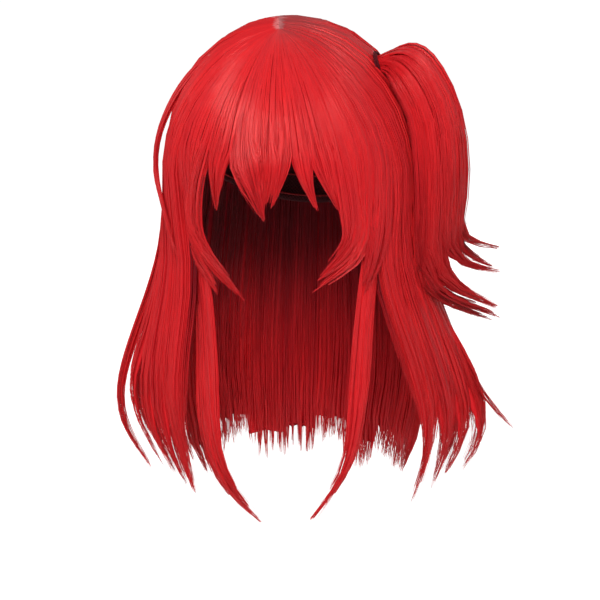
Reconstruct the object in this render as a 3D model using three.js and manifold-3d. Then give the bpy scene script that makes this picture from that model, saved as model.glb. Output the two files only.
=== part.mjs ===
// A straight wig with a full pointed fringe, long front locks and a ponytail on the wearer's left.
// Millimetres, +Z up. The face looks along -Y, the wearer's left is +X, and the origin is the top of the
// hollow for the head.
import * as THREE from 'three';
import { mergeVertices } from 'three/addons/utils/BufferGeometryUtils.js';
import Module from 'manifold-3d';

const wasm = await Module();
wasm.setup();

// Driving dimensions: half-sizes of the head, the cap's wall and the heights of its rim, the clearance
// between pieces, and half-sizes and middle height of the dome that the hair makes over the head.
const HEAD = { x: 76, y: 96, z: 95 };
const CAP_WALL = 2;
const CAP_RIM = { front: -62, nape: -160, napeDepth: 72 };
const GAP = 0.35;
const DOME = { x: 103.5, y: 116, z: 124, middle: -116.5 };
const PARTING = { front: { x: -1, y: -40 }, back: { x: -8, y: -8 }, frontBearing: 60, backBearing: 140 };
const SKIN = { halfWidth: 13, halfLength: 30, thick: 1 };

// How a lock opens out from its root and closes to its tip, as shares of its full width and depth.
// A taper is counted in spans of the lock's curve, back from the tip.
const CROWN = { height: 3, share: 0.2 };
const ROOT_SHARE = 0.22;
const HANG_SHARE = 0.62;
const TIP_POWER = 1.6;
const FRINGE_TAPER = 1.7;
const SIDE_TAPER = 1.2;
const SCALP_CLEAR = 1.6;
const MIN_DEPTH = 0.6;

// Facets
const SCALP_SHARES = [0, 0.3, 0.65, 1];
const SCALP_RINGS = 5;
const RINGS_PER_SPAN = 1.14;
const HEAD_SIDES = 24;
const HEAD_ROWS = 13;
const SKIN_SIDES = 16;
const TIE_SIDES = 12;
const MERGE_WITHIN = 1e-4;
const CUTTER = 600;

const COLOUR = { hair: 0xc8282a, cap: 0x6e1420, skin: 0xe8b4b8, tie: 0x5a0f18 };

// A lock's section: shares of its half-width, and of its crown outwards or its depth inwards.
const SECTION = [
  { sideways: 1, rise: 0 },
  { sideways: 0.55, rise: 1 },
  { sideways: -0.55, rise: 1 },
  { sideways: -1, rise: 0 },
  { sideways: 0, rise: -1 },
];

// A table of rows under named columns, as a list of records.
function table(columns, rows) {
  return rows.map((row) => Object.fromEntries(columns.map((name, place) => [name, row[place]])));
}

// A lock that starts on the scalp. bearing is in degrees from the front, plus towards the wearer's left,
// leave is the height at which the lock leaves the dome, and bends are the points that it passes on its
// way to the tip.
const SCALP_LOCK = ['bearing', 'leave', 'width', 'depth', 'tip', 'bends'];

const FRINGE = table(SCALP_LOCK, [
  [-52, -98, 28, 20, [-40, -80, -211], [[-74, -66, -137], [-64, -68, -177]]],
  [-41, -88, 26, 18, [-56, -74, -180], [[-66, -78, -128]]],
  [-29, -83, 25, 14, [-16, -90, -213], [[-60, -80, -130], [-55, -75, -168]]],
  [-18, -81, 19, 12, [-37, -99, -140], [[-35, -106, -112]]],
  [-6, -80, 31, 14, [5, -112, -144], [[-2, -115, -114]]],
  [4, -79, 24, 13, [6, -113, -131], [[8, -115, -110]]],
  [11, -83, 14, 11, [10, -113, -134], [[17, -114, -110]]],
  [18, -83, 17, 12, [45, -102, -136], [[37, -107, -111]]],
  [27, -80, 22, 14, [62, -90, -140], [[53, -99, -111]]],
  [38, -81, 27, 15, [40, -90, -195], [[67, -85, -128], [64, -82, -160]]],
  [48, -86, 26, 17, [36, -88, -204], [[77, -74, -134], [72, -74, -170]]],
  [58, -92, 28, 20, [73, -66, -212], [[88, -62, -131], [83, -62, -176]]],
]);

// The hair over the ears, swept out by the shoulders and in again at the tips.
const SIDE_RIGHT = table(SCALP_LOCK, [
  [-60, -112, 42, 18, [-64, -66, -391], [[-82, -55, -190], [-90, -60, -305]]],
  [-68, -112, 30, 18, [-73, -58, -386], [[-92, -46, -190], [-106, -50, -308]]],
  [-76, -112, 22, 16, [-88, -48, -375], [[-100, -36, -194], [-118, -40, -314]]],
  [-83, -112, 16, 14, [-99, -36, -378], [[-105, -26, -191], [-132, -28, -314]]],
  [-89, -112, 10, 9, [-119, -26, -375], [[-108, -14, -190], [-148, -20, -332]]],
  [-97, -112, 36, 18, [-100, -6, -387], [[-107, 4, -190], [-132, 0, -320]]],
  [-109, -112, 36, 18, [-92, 26, -392], [[-102, 34, -190], [-118, 34, -322]]],
]);
const SIDE_LEFT = table(SCALP_LOCK, [
  [66, -112, 28, 18, [117, -40, -372], [[92, -40, -184], [126, -34, -311]]],
  [77, -112, 28, 18, [123, -22, -381], [[99, -23, -180], [138, -14, -318]]],
  [88, -112, 28, 18, [128, 0, -380], [[104, -3, -180], [149, 8, -325]]],
  [99, -112, 26, 18, [139, 23, -380], [[105, 17, -186], [161, 27, -336]]],
  [103, -112, 10, 10, [181, 25, -331], [[108, 22, -190], [157, 27, -308]]],
  [68, -112, 8, 8, [108, -42, -394], [[93, -38, -190], [124, -35, -325]]],
  [111, -112, 36, 18, [118, 42, -390], [[101, 40, -190], [136, 46, -320]]],
]);

// The two long front locks, which start on the cap at the temples under the fringe, and the loose lock
// that loops out from the hair over the right ear.
const FREE_LOCK = { rootSpans: 1, rootRings: 2, taper: 3 };
const FRONT_RIGHT = {
  ...FREE_LOCK,
  width: 27,
  depth: 9,
  points: [[-74, -46, -104], [-68, -60, -150], [-57, -70, -218], [-51, -78, -274], [-46, -88, -325],
    [-30, -95, -366], [1, -100, -393]],
};
const FRONT_LEFT = {
  ...FREE_LOCK,
  width: 19,
  depth: 9,
  points: [[76, -42, -104], [80, -57, -150], [75, -66, -204], [75, -72, -251], [73, -82, -298],
    [67, -90, -344], [37, -98, -390]],
};
const LOOSE_LOCK = {
  ...FREE_LOCK,
  width: 14,
  depth: 6,
  taper: 7,
  points: [[-58, -36, -24], [-78, -33, -43], [-93, -31, -66], [-103, -30, -88], [-108, -30, -106],
    [-106, -32, -122], [-100, -40, -138], [-89, -58, -162], [-78, -65, -186]],
};

// The hair behind, in equal locks round the back of the dome. The hip and the tip are shares of the
// dome's own width and depth at the lock's bearing.
const BACK = {
  first: 123, last: 237, count: 8, width: 46, depth: 18, taper: 0.5, leave: -118,
  hip: { x: 1.16, y: 0.9, height: -300 },
  tip: { x: 0.98, y: 0.76, height: -392, ragged: 12, step: 2.4 },
};

// The ponytail: a middle line with half-sizes sideways and fore and aft, and for each lock round it the
// turn about that line, a last bend and the tip.
const TAIL_LINE = table(['at', 'side', 'deep'], [
  [[64, -8, -33], 3, 3],
  [[78, -7, -28], 4.5, 4.5],
  [[94.5, -7, -29.5], 18, 17],
  [[117, -5, -66], 22, 22],
  [[123, -1, -126], 20, 20],
]);
const TAIL_END = [[126, 1, -190], [173, 0, -216]];
const TAIL_TIPS = table(['turn', 'bend', 'tip'], [
  [0, [142, 2, -170], [176, 0, -179]],
  [60, [136, 12, -177], [171, 12, -198]],
  [120, [119, 12, -203], [168, 10, -230]],
  [180, [114, -3, -213], [172, -5, -238]],
  [225, [119, -11, -208], [180, -10, -234]],
  [270, [126, -14, -195], [177, -12, -226]],
  [315, [140, -11, -184], [181, -8, -196]],
]);
const TAIL_LOCK = { width: 22, depth: 12.5, taper: 1.5, rootSpans: 2, rootRings: 3 };
const TIE = { at: [73, -7, -29.5], towards: [100, -6, -22], inner: 7.4, outer: 8.6, bulge: 0.5, length: 3.6 };

// Solids and meshes
function solidOf(geometry) {
  const bare = geometry.clone();
  bare.deleteAttribute('normal');
  bare.deleteAttribute('uv');
  const merged = mergeVertices(bare, MERGE_WITHIN);
  const mesh = new wasm.Mesh({
    numProp: 3,
    vertProperties: new Float32Array(merged.attributes.position.array),
    triVerts: new Uint32Array(merged.index.array),
  });
  return new wasm.Manifold(mesh);
}

function geometryOf(solid) {
  const mesh = solid.getMesh();
  const geometry = new THREE.BufferGeometry();
  geometry.setAttribute('position', new THREE.BufferAttribute(new Float32Array(mesh.vertProperties), 3));
  geometry.setIndex(new THREE.BufferAttribute(new Uint32Array(mesh.triVerts), 1));
  geometry.computeVertexNormals();
  return geometry;
}

// The largest body of a solid that a cut may have left in several bodies.
function largestBody(solid) {
  const bodies = solid.decompose();
  return bodies.reduce((best, body) => (body.volume() > best.volume() ? body : best));
}

function joined(solids) {
  return solids.reduce((all, solid) => all.add(solid));
}

function without(solid, cutters) {
  return cutters.reduce((rest, cutter) => rest.subtract(cutter), solid);
}

// A closed skin over rings of points, ending in a point before the first ring and one after the last.
function loft(rings, startPoint, endPoint) {
  const points = [startPoint, ...rings.flat(), endPoint];
  const sides = rings[0].length;
  const last = points.length - 1;
  const index = [];
  for (let side = 0; side < sides; side++) {
    const next = (side + 1) % sides;
    index.push(0, 1 + next, 1 + side);
    for (let ring = 0; ring + 1 < rings.length; ring++) {
      const low = 1 + ring * sides;
      const high = low + sides;
      index.push(low + side, low + next, high + next, low + side, high + next, high + side);
    }
    const top = last - sides;
    index.push(top + side, top + next, last);
  }
  const geometry = new THREE.BufferGeometry().setFromPoints(points);
  geometry.setIndex(index);
  return geometry;
}

// The head's hollow, the cap and the patch of scalp at the parting
function headForm(grow) {
  const ball = new THREE.SphereGeometry(1, HEAD_SIDES, HEAD_ROWS);
  ball.rotateX(Math.PI / 2);
  ball.scale(HEAD.x + grow, HEAD.y + grow, HEAD.z + grow);
  ball.translate(0, 0, -HEAD.z);
  return solidOf(ball);
}

function belowRim() {
  const frontPoint = new THREE.Vector2(-HEAD.y, CAP_RIM.front);
  const napePoint = new THREE.Vector2(CAP_RIM.napeDepth, CAP_RIM.nape);
  const slope = napePoint.clone().sub(frontPoint).angle();
  const block = new THREE.BoxGeometry(CUTTER, CUTTER, CUTTER);
  block.translate(0, 0, -CUTTER / 2);
  block.rotateX(slope);
  block.translate(0, frontPoint.x, frontPoint.y);
  return solidOf(block);
}

function skinOutline(grow) {
  const radius = SKIN.halfWidth + grow;
  const column = new THREE.CylinderGeometry(radius, radius, HEAD.z, SKIN_SIDES);
  column.rotateX(Math.PI / 2);
  column.scale(1, (SKIN.halfLength + grow) / radius, 1);
  column.translate((PARTING.front.x + PARTING.back.x) / 2, (PARTING.front.y + PARTING.back.y) / 2, 0);
  return solidOf(column);
}

const cap = without(headForm(CAP_WALL), [headForm(0), belowRim()]);
const headRoom = headForm(CAP_WALL + GAP);
const skinPatch = headForm(CAP_WALL + GAP + SKIN.thick).intersect(skinOutline(0)).subtract(headRoom);
const skinRoom = headForm(CAP_WALL + GAP + SKIN.thick + GAP).intersect(skinOutline(GAP));

// Locks of hair
function domePoint(direction) {
  return new THREE.Vector3(DOME.x * direction.x, DOME.y * direction.y, DOME.middle + DOME.z * direction.z);
}

function directionAt(bearing, height) {
  const rise = (height - DOME.middle) / DOME.z;
  const level = Math.sqrt(1 - rise * rise);
  const angle = THREE.MathUtils.degToRad(bearing);
  return new THREE.Vector3(Math.sin(angle) * level, -Math.cos(angle) * level, rise);
}

// Where a lock of that bearing starts: the front end of the parting for the fringe, its back end behind.
function rootDirection(bearing) {
  const share = THREE.MathUtils.smoothstep(Math.abs(bearing), PARTING.frontBearing, PARTING.backBearing);
  const x = THREE.MathUtils.lerp(PARTING.front.x, PARTING.back.x, share) / DOME.x;
  const y = THREE.MathUtils.lerp(PARTING.front.y, PARTING.back.y, share) / DOME.y;
  return new THREE.Vector3(x, y, Math.sqrt(1 - x * x - y * y));
}

function slerp(from, to, share) {
  const angle = from.angleTo(to);
  const start = from.clone().multiplyScalar(Math.sin((1 - share) * angle));
  return start.addScaledVector(to, Math.sin(share * angle)).divideScalar(Math.sin(angle));
}

// The lock's middle line along its outer face, and how many of its spans lie on the scalp.
function lockCurve(lock) {
  if (lock.points) {
    const points = lock.points.map((point) => new THREE.Vector3(...point));
    return { curve: new THREE.CatmullRomCurve3(points), scalpSpans: lock.rootSpans };
  }
  const root = rootDirection(lock.bearing);
  const leave = directionAt(lock.bearing, lock.leave);
  const onScalp = SCALP_SHARES.map((share) => domePoint(slerp(root, leave, share)));
  const hanging = [...lock.bends, lock.tip].map((point) => new THREE.Vector3(...point));
  return { curve: new THREE.CatmullRomCurve3([...onScalp, ...hanging]), scalpSpans: onScalp.length - 1 };
}

// Away from the head: the dome's normal, level from its widest height down.
function outwardFromHead(point) {
  const rise = Math.max(0, point.z - DOME.middle) / DOME.z ** 2;
  return new THREE.Vector3(point.x / DOME.x ** 2, point.y / DOME.y ** 2, rise).normalize();
}

// How far a lock can reach in from a point before it meets the head's room.
function roomInward(point, out) {
  const half = [HEAD.x, HEAD.y, HEAD.z].map((size) => size + CAP_WALL + SCALP_CLEAR);
  const from = [point.x / half[0], point.y / half[1], (point.z + HEAD.z) / half[2]];
  const way = [-out.x / half[0], -out.y / half[1], -out.z / half[2]];
  const dot = (a, b) => a[0] * b[0] + a[1] * b[1] + a[2] * b[2];
  const along = dot(from, way);
  const reach = along * along - dot(way, way) * (dot(from, from) - 1);
  return reach > 0 && along < 0 ? (-along - Math.sqrt(reach)) / dot(way, way) : Infinity;
}

// Where the rings of a lock go, counted in spans: closer together over the curve of the scalp.
function stationsAlong(spans, scalpSpans, scalpRings) {
  const hanging = Math.ceil((spans - scalpSpans) * RINGS_PER_SPAN);
  const middles = (count, length) => {
    const step = length / count;
    return Array.from({ length: count }, (_, ring) => (ring + 0.5) * step);
  };
  const below = middles(hanging, spans - scalpSpans).map((place) => scalpSpans + place);
  return [...middles(scalpRings, scalpSpans), ...below];
}

function lockSolid(lock, grow = 0, outward = outwardFromHead) {
  const { curve, scalpSpans } = lockCurve(lock);
  const spans = curve.points.length - 1;
  const taperStart = spans - lock.taper;
  const rings = stationsAlong(spans, scalpSpans, lock.rootRings ?? SCALP_RINGS).map((place) => {
    const share = place / spans;
    const point = curve.getPoint(share);
    const tangent = curve.getTangent(share);
    const across = new THREE.Vector3().crossVectors(outward(point, share), tangent).normalize();
    const out = new THREE.Vector3().crossVectors(tangent, across);
    const opened = Math.sin((Math.PI / 2) * Math.min(1, place / scalpSpans));
    const hung = THREE.MathUtils.clamp(place - scalpSpans, 0, 1);
    const taper = 1 - Math.max(0, (place - taperStart) / lock.taper) ** TIP_POWER;
    const spread = (ROOT_SHARE + (1 - ROOT_SHARE) * opened) * taper;
    const half = (lock.width / 2) * spread + grow;
    const fullDepth = lock.depth * spread * THREE.MathUtils.lerp(1, HANG_SHARE, hung);
    const crown = Math.min(CROWN.height, lock.width * CROWN.share) * spread + grow;
    return SECTION.map(({ sideways, rise }) => {
      const edge = point.clone().addScaledVector(across, half * sideways);
      const deep = Math.max(MIN_DEPTH, Math.min(fullDepth, roomInward(edge, out))) + grow;
      return edge.addScaledVector(out, rise * (rise > 0 ? crown : deep));
    });
  });
  const start = curve.getPoint(0).addScaledVector(curve.getTangent(0), -grow);
  const end = curve.getPoint(1).addScaledVector(curve.getTangent(1), grow);
  return solidOf(loft(rings, start, end));
}

function backLocks() {
  const locks = [];
  for (let number = 0; number < BACK.count; number++) {
    const bearing = THREE.MathUtils.lerp(BACK.first, BACK.last, number / (BACK.count - 1));
    const angle = THREE.MathUtils.degToRad(bearing);
    const level = { x: DOME.x * Math.sin(angle), y: -DOME.y * Math.cos(angle) };
    const ragged = BACK.tip.ragged * Math.sin(number * BACK.tip.step);
    locks.push({
      ...BACK,
      bearing,
      bends: [[level.x * BACK.hip.x, level.y * BACK.hip.y, BACK.hip.height]],
      tip: [level.x * BACK.tip.x, level.y * BACK.tip.y, BACK.tip.height + ragged],
    });
  }
  return locks;
}

const tailLine = new THREE.CatmullRomCurve3([...TAIL_LINE.map(({ at }) => at), ...TAIL_END].map(
  (point) => new THREE.Vector3(...point)));

// The locks start on rings that stand square to the middle line, turned about it from its upper side.
function tailLocks() {
  return TAIL_TIPS.map(({ turn, bend, tip }) => {
    const angle = THREE.MathUtils.degToRad(turn);
    const points = TAIL_LINE.map(({ at, side, deep }, row) => {
      const along = tailLine.getTangent(row / (tailLine.points.length - 1));
      const upper = new THREE.Vector3(-along.z, 0, along.x).normalize();
      const rise = side * Math.cos(angle);
      return [at[0] + upper.x * rise, at[1] + deep * Math.sin(angle), at[2] + upper.z * rise];
    });
    return { ...TAIL_LOCK, points: [...points, bend, tip] };
  });
}

// Away from the ponytail's middle line at the same share of the way down.
function outwardFromTail(point, along) {
  const middle = tailLine.getPoint(along);
  return point.clone().sub(middle).normalize();
}

function tieSolid(grow) {
  const profile = [
    new THREE.Vector2(TIE.inner - grow, -TIE.length / 2 - grow),
    new THREE.Vector2(TIE.outer + grow, -TIE.length / 2 - grow),
    new THREE.Vector2(TIE.outer + TIE.bulge + grow, 0),
    new THREE.Vector2(TIE.outer + grow, TIE.length / 2 + grow),
    new THREE.Vector2(TIE.inner - grow, TIE.length / 2 + grow),
  ];
  const ring = new THREE.LatheGeometry([...profile, profile[0]], TIE_SIDES);
  const at = new THREE.Vector3(...TIE.at);
  const axis = new THREE.Vector3(...TIE.towards).sub(at).normalize();
  ring.applyQuaternion(new THREE.Quaternion().setFromUnitVectors(new THREE.Vector3(0, 1, 0), axis));
  ring.translate(at.x, at.y, at.z);
  return solidOf(ring);
}

function hairSolid(locks, grow = 0, outward = outwardFromHead) {
  return joined(locks.map((lock) => lockSolid(lock, grow, outward)));
}

// Rows of a table with the group's own taper where the row has none.
function tapered(locks, taper) {
  return locks.map((lock) => ({ taper, ...lock }));
}

// Each group of locks is cut back from the head's room and from the groups that lie over it.
const tieRoom = tieSolid(GAP);
const tail = tailLocks();
const fringe = tapered(FRINGE, FRINGE_TAPER);
const sides = [[...SIDE_RIGHT, LOOSE_LOCK], SIDE_LEFT].map((locks) => tapered(locks, SIDE_TAPER));
const tailRoom = hairSolid(tail, GAP, outwardFromTail);
const frontRooms = [FRONT_RIGHT, FRONT_LEFT].map((lock) => lockSolid(lock, GAP));
const fringeRoom = hairSolid(fringe, GAP);
const sideRooms = sides.map((locks) => hairSolid(locks, GAP));

const overSides = [headRoom, skinRoom, ...frontRooms, fringeRoom, tieRoom, tailRoom];
const hairSolids = {
  ponytail: without(hairSolid(tail, 0, outwardFromTail), [headRoom, tieRoom]),
  front_lock_right: without(lockSolid(FRONT_RIGHT), [headRoom]),
  front_lock_left: without(lockSolid(FRONT_LEFT), [headRoom]),
  fringe: without(hairSolid(fringe), [headRoom, skinRoom, ...frontRooms]),
  side_hair_right: without(hairSolid(sides[0]), overSides),
  side_hair_left: without(hairSolid(sides[1]), [...overSides, sideRooms[0]]),
  back_hair: without(hairSolid(backLocks()), [...overSides, ...sideRooms]),
};

// The scene graph
function piece(name, solid, colour, roughness) {
  const material = new THREE.MeshStandardMaterial({ color: colour, roughness, metalness: 0 });
  const mesh = new THREE.Mesh(geometryOf(largestBody(solid)), material);
  mesh.name = name;
  return mesh;
}

const wig = new THREE.Group();
wig.name = 'wig';
wig.add(piece('wig_cap', cap, COLOUR.cap, 0.8));
wig.add(piece('skin_top', skinPatch, COLOUR.skin, 0.7));
wig.add(piece('ponytail_tie', without(tieSolid(0), [headRoom]), COLOUR.tie, 0.6));
for (const [name, solid] of Object.entries(hairSolids)) {
  wig.add(piece(name, solid, COLOUR.hair, 0.45));
}

export default wig;
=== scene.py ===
"""A bright red straight wig with a pointed fringe, long front locks and a side ponytail.

Metres, +Z up, with the tables of locks in millimetres. The face opening looks along -Y, the wearer's left
is +X, and the origin is the top of the cap's hollow. Every group of hair is a set of locks. A lock is a
middle line with a width, a crown outwards and a depth inwards, and it carries a smooth body under many
fine strands.
"""
import math

import bpy
import numpy as np
from bpy.props import FloatProperty, FloatVectorProperty, IntProperty, PointerProperty
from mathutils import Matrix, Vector


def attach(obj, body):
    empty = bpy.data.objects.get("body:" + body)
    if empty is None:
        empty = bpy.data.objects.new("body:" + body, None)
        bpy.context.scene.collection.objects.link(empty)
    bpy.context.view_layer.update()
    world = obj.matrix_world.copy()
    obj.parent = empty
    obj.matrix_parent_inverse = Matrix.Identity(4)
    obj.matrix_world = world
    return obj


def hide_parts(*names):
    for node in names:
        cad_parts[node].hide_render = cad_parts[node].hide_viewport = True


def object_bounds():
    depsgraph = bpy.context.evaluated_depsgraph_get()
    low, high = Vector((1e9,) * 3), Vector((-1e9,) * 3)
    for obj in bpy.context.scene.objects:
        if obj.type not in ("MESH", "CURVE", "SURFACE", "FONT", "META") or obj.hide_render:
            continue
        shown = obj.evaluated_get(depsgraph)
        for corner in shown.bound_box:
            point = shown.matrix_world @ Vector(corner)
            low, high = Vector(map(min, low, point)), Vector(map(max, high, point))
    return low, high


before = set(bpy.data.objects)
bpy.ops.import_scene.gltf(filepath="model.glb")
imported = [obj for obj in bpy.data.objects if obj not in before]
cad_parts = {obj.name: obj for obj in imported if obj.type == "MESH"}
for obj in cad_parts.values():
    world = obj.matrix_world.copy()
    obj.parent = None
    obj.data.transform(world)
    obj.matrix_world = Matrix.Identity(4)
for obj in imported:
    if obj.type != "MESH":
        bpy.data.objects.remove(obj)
CAD_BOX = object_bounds()

bl_info = {
    "name": "Red wig with a side ponytail",
    "version": (1, 0, 0),
    "blender": (4, 5, 0),
    "location": "View3D > Sidebar > Wig",
    "description": "Builds a straight red wig strand by strand on its fitted cap",
    "category": "Object",
}

BODY = "root"
UV_NAME = "OFBake"
MM_IN_METRE = 1000

# The cap and its hollow: half-sizes of the hollow, the cap's wall, the heights of its rim in front and at
# the nape, and how far back the nape is.
HEAD = np.array((0.076, 0.096, 0.095))
CAP_WALL = 0.002
CAP_RIM_FRONT = -0.062
CAP_RIM_NAPE = -0.160
CAP_NAPE_DEPTH = 0.072

# The dome that the hair makes over the cap: half-sizes, and the height of its widest level.
DOME = np.array((0.1035, 0.116, 0.124))
DOME_MIDDLE = -0.1165

# The parting: its two ends. Locks start at the front end up to the first bearing, in degrees from the
# front, and at the back end from the second. Then the pale patch: half-sizes, gap to the cap, thickness.
PARTING_FRONT = np.array((-0.001, -0.040))
PARTING_BACK = np.array((-0.008, -0.008))
PARTING_BEARINGS = (60, 140)
SKIN_HALF = np.array((0.013, 0.030))
SKIN_LIFT = 0.00035
SKIN_THICK = 0.001

# How a lock opens from its root, closes to its tip and hangs, as shares of its full width and depth. Then
# the crown of its section, the shares of the way over the scalp at which it has a point, its clearance over
# the cap, its least depth, and how far its root sinks in and over how many spans.
ROOT_SHARE = 0.22
TIP_SHARE = 0.05
HANG_SHARE = 0.62
CROWN_HEIGHT = 0.003
CROWN_SHARE = 0.2
SCALP_SHARES = (0, 0.3, 0.65, 1)
SCALP_CLEAR = 0.0016
MIN_DEPTH = 0.0006
ROOT_SINK = 0.0014
ROOT_SINK_SPANS = 0.3

# Clumps, the finer bunches within a lock: spacing, how far they leave it, how far they overlap, the least
# half-width, the share of it that is left at the tip, how round they are, and how unevenly they end.
CLUMP_WIDTH = 0.0030
CLUMP_JITTER = 0.5
CLUMP_OVERLAP = 0.72
CLUMP_LEAST = 0.0006
CLUMP_TIP = 0.22
CLUMP_ROUND = 0.4
CLUMP_CUT = 0.06

# The half-width of a lock from which its clumps stray fully, the depth of hair on the scalp, and the
# stations between which a lock takes on its own depth and its clumps start to rise and sink.
STRAY_HALF = 0.008
SCALP_DEPTH = 0.004
OWN_DEPTH_STATIONS = (0.8, 1.1)
RELIEF_STATIONS = (0, 0.5)

# The slow waves of a clump: turns from one station to the next, size, and how much their rate varies.
WAVES = ((0.45, 0.6), (1.1, 0.4))
WAVE_RATES = (0.7, 1.3)

# Points that a lock's line is worked out in, and the samples that soften a bend.
LINE_STEPS = 240
BEND_SAMPLES = 9

# Bodies: rings, points round a ring and the first station. A body stays under the strands by an inset, at
# most a share of its thickness. Its width is a share of the lock's where the lock hangs apart, where it lies
# beside others and at a free edge. Then what is left of it at the tip, the least depth of its inner face,
# and the width of that face as a share of the outer one's.
BODY_RINGS = 34
BODY_SIDES = 16
BODY_START = 0.01
BODY_INSET = 0.0019
BODY_INSET_MOST = 0.3
BODY_NARROW = 0.93
BODY_OVERLAP = 1.05
BODY_FREE = 0.88
BODY_THIN = 0.06
BODY_LEAST = 0.0004
BODY_INNER_NARROW = 0.97

# The map of a group of hair: columns for each lock, the last of them for its inner face, in painted shade.
# Then the columns that a body's narrow edges take, counted in from the left and the right, and the rows of
# its root's end.
LOCK_COLUMNS = 16
OUTER_COLUMNS = 12
MOST_LOCKS = 16
MAP_COLUMNS = LOCK_COLUMNS * MOST_LOCKS
LEFT_EDGE = (0.4, 0.1)
RIGHT_EDGE = (0.5, 0.1)
ROOT_END_ROWS = 0.3

# Strands in a clump: the shares of them between which they pass from its outer face to its inner one, how
# deep the outer and the inner ones lie, and the depth from which they take the painted-shade columns of the
# map.
INNER_SHARES = (0.58, 0.8)
OUTER_DEPTH = 0.12
INNER_DEPTH = 0.88
PAINTED_SHADE_DEPTH = 0.6

# A strand's own waver: places to start from, turns down its length, and how rare and wide strays are.
WAVER_PLACES = 900.0
WAVER_TURNS = 2.4
STRAY_RARITY = 24.0
STRAY_REACH = 5.0

# A strand's length and thickness: how few are short, the most lost at the root, where it starts to thin,
# what is left at the tip and how thickness varies. Then how far its column of the map follows its place
# across the lock, the margin that keeps it out of the next lock's columns, and the part of its column that
# its round takes, as a width and a start.
SHORT_RARITY = 2.0
ROOT_LOSS = 0.008
THIN_FROM = 0.7
TIP_THICKNESS = 0.25
THICKNESS_RANGE = (0.75, 1.25)
COLUMN_BY_PLACE = 0.7
COLUMN_MARGIN = 0.01
COLUMN_ROUND = (0.6, 0.2)

# Strands of each group of hair, and the points of a strand on the scalp and below it.
STRANDS = {
    "fringe": (1900, (8, 7)),
    "front_lock_right": (400, (2, 11)),
    "front_lock_left": (400, (2, 11)),
    "side_hair_right": (1230, (8, 11)),
    "side_hair_left": (1180, (8, 11)),
    "back_hair": (1850, (8, 8)),
    "ponytail": (1300, (8, 14)),
}

# Inputs of the strand tree that differ from the settings, and the painted shade that darkens the ponytail's
# tips.
STRAND_CHANGES = {
    "fringe": {"Shortest": 0.92, "Waviness": 0.0006},
    "back_hair": {"Shortest": 0.94, "Thin From": 0.94},
    "ponytail": {"Shortest": 0.92},
}
TAIL_TIP_SHADE = 0.3

# Tones of hair: the shares of strand, lock and streak in a tone, the range that is stretched to full, and
# the step between columns and the turns down the hair of a streak.
STRAND_TONE = 0.34
LOCK_TONE = 0.16
STREAK_TONE = 0.5
TONE_RANGE = (0.12, 0.85)
STREAK_STEP = 0.83
STREAK_TURNS = 5.0

# Changes down the hair, by shares of its length: pale roots, the painted shade inside and painted shade
# darkening the tips.
PALE_ROOT = (0.002, 0.008)
PALE_MOST = 0.5
INNER_SHADE_FADE = (0.55, 0.85)
INNER_SHADE_LEFT = 0.15
INNER_SHADE_TONE = 0.25
TIP_SHADE_RANGE = (0.2, 0.85)

# Finishes of hair: tones in a column of the map, roughness, shine and depth of relief. Then how roughness
# changes from the darkest to the lightest tone, the strength of the relief and the tint of the shine.
LOCK_FINISH = {"fineness": 8.0, "roughness": 0.55, "shine": 0.25, "relief": 0.0003}
STRAND_FINISH = {"fineness": 1.0, "roughness": 0.32, "shine": 0.7, "relief": 0}
ROUGHNESS_CHANGE = (0.08, -0.06)
RELIEF_STRENGTH = 0.6
SHINE_TINT = (1.0, 0.47, 0.44, 1.0)

# The cap's net: its darkest and lightest tone as multiples of its colour, the shares of thread and patch in
# a tone, the slants of its threads in degrees, and roughness from the darkest tone to the lightest.
NET_DARK = 0.45
NET_LIGHT = 1.5
NET_THREAD = 0.7
NET_PATCH = 0.3
NET_SLANTS = (45, -45)
NET_ROUGHNESS = (0.92, 0.68)

# Other finishes: the dark of the sewn rows, the warm part of the patch and the light of the tie as multiples
# of their colours, the patch's knots, from middle to edge, the tie's roughness and the floor's two greys.
ROW_DARK = 0.35
SKIN_WARM = 0.82
TIE_LIGHT = 2.2
KNOT_RANGE = (0.18, 0.4)
KNOT_MOST = 0.75
TIE_ROUGHNESS = (0.9, 0.7)
FLOOR_GREYS = (0.90, 0.94)

# Locks that start on the scalp, in millimetres: bearing in degrees from the front, plus towards the wearer's
# left, the height at which the lock leaves the dome, width, depth, tip, and the points on the way to it.
FRINGE = (
    (-52, -98, 28, 20, (-40, -80, -211), ((-74, -66, -137), (-64, -68, -177))),
    (-41, -88, 26, 18, (-56, -74, -180), ((-66, -78, -128),)),
    (-29, -83, 25, 14, (-16, -90, -213), ((-62, -80, -130), (-59, -75, -168))),
    (-18, -81, 19, 12, (-37, -99, -140), ((-35, -106, -112),)),
    (-6, -80, 31, 14, (5, -112, -144), ((-2, -115, -114),)),
    (4, -79, 24, 13, (6, -113, -131), ((8, -115, -110),)),
    (11, -83, 14, 11, (10, -113, -134), ((17, -114, -110),)),
    (18, -83, 17, 12, (45, -102, -136), ((37, -107, -111),)),
    (27, -80, 22, 14, (62, -90, -140), ((53, -99, -111),)),
    (38, -81, 27, 15, (40, -90, -195), ((70, -85, -128), (69, -82, -160))),
    (48, -86, 26, 17, (36, -88, -204), ((77, -74, -134), (72, -74, -170))),
    (58, -92, 28, 20, (73, -66, -212), ((88, -62, -131), (83, -62, -176))),
)
SIDE_RIGHT = (
    (-60, -112, 42, 18, (-64, -66, -391), ((-82, -55, -190), (-90, -60, -305))),
    (-68, -112, 30, 18, (-73, -58, -386), ((-92, -46, -190), (-106, -50, -308))),
    (-76, -112, 22, 16, (-88, -48, -375), ((-100, -36, -194), (-118, -40, -314))),
    (-83, -112, 16, 14, (-99, -36, -378), ((-105, -26, -191), (-132, -28, -314))),
    (-89, -112, 10, 9, (-114, -26, -380), ((-108, -14, -190), (-146, -20, -326))),
    (-97, -112, 36, 18, (-100, -6, -387), ((-107, 4, -190), (-132, 0, -320))),
    (-109, -112, 36, 18, (-92, 26, -392), ((-102, 34, -190), (-118, 34, -322))),
)
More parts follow.
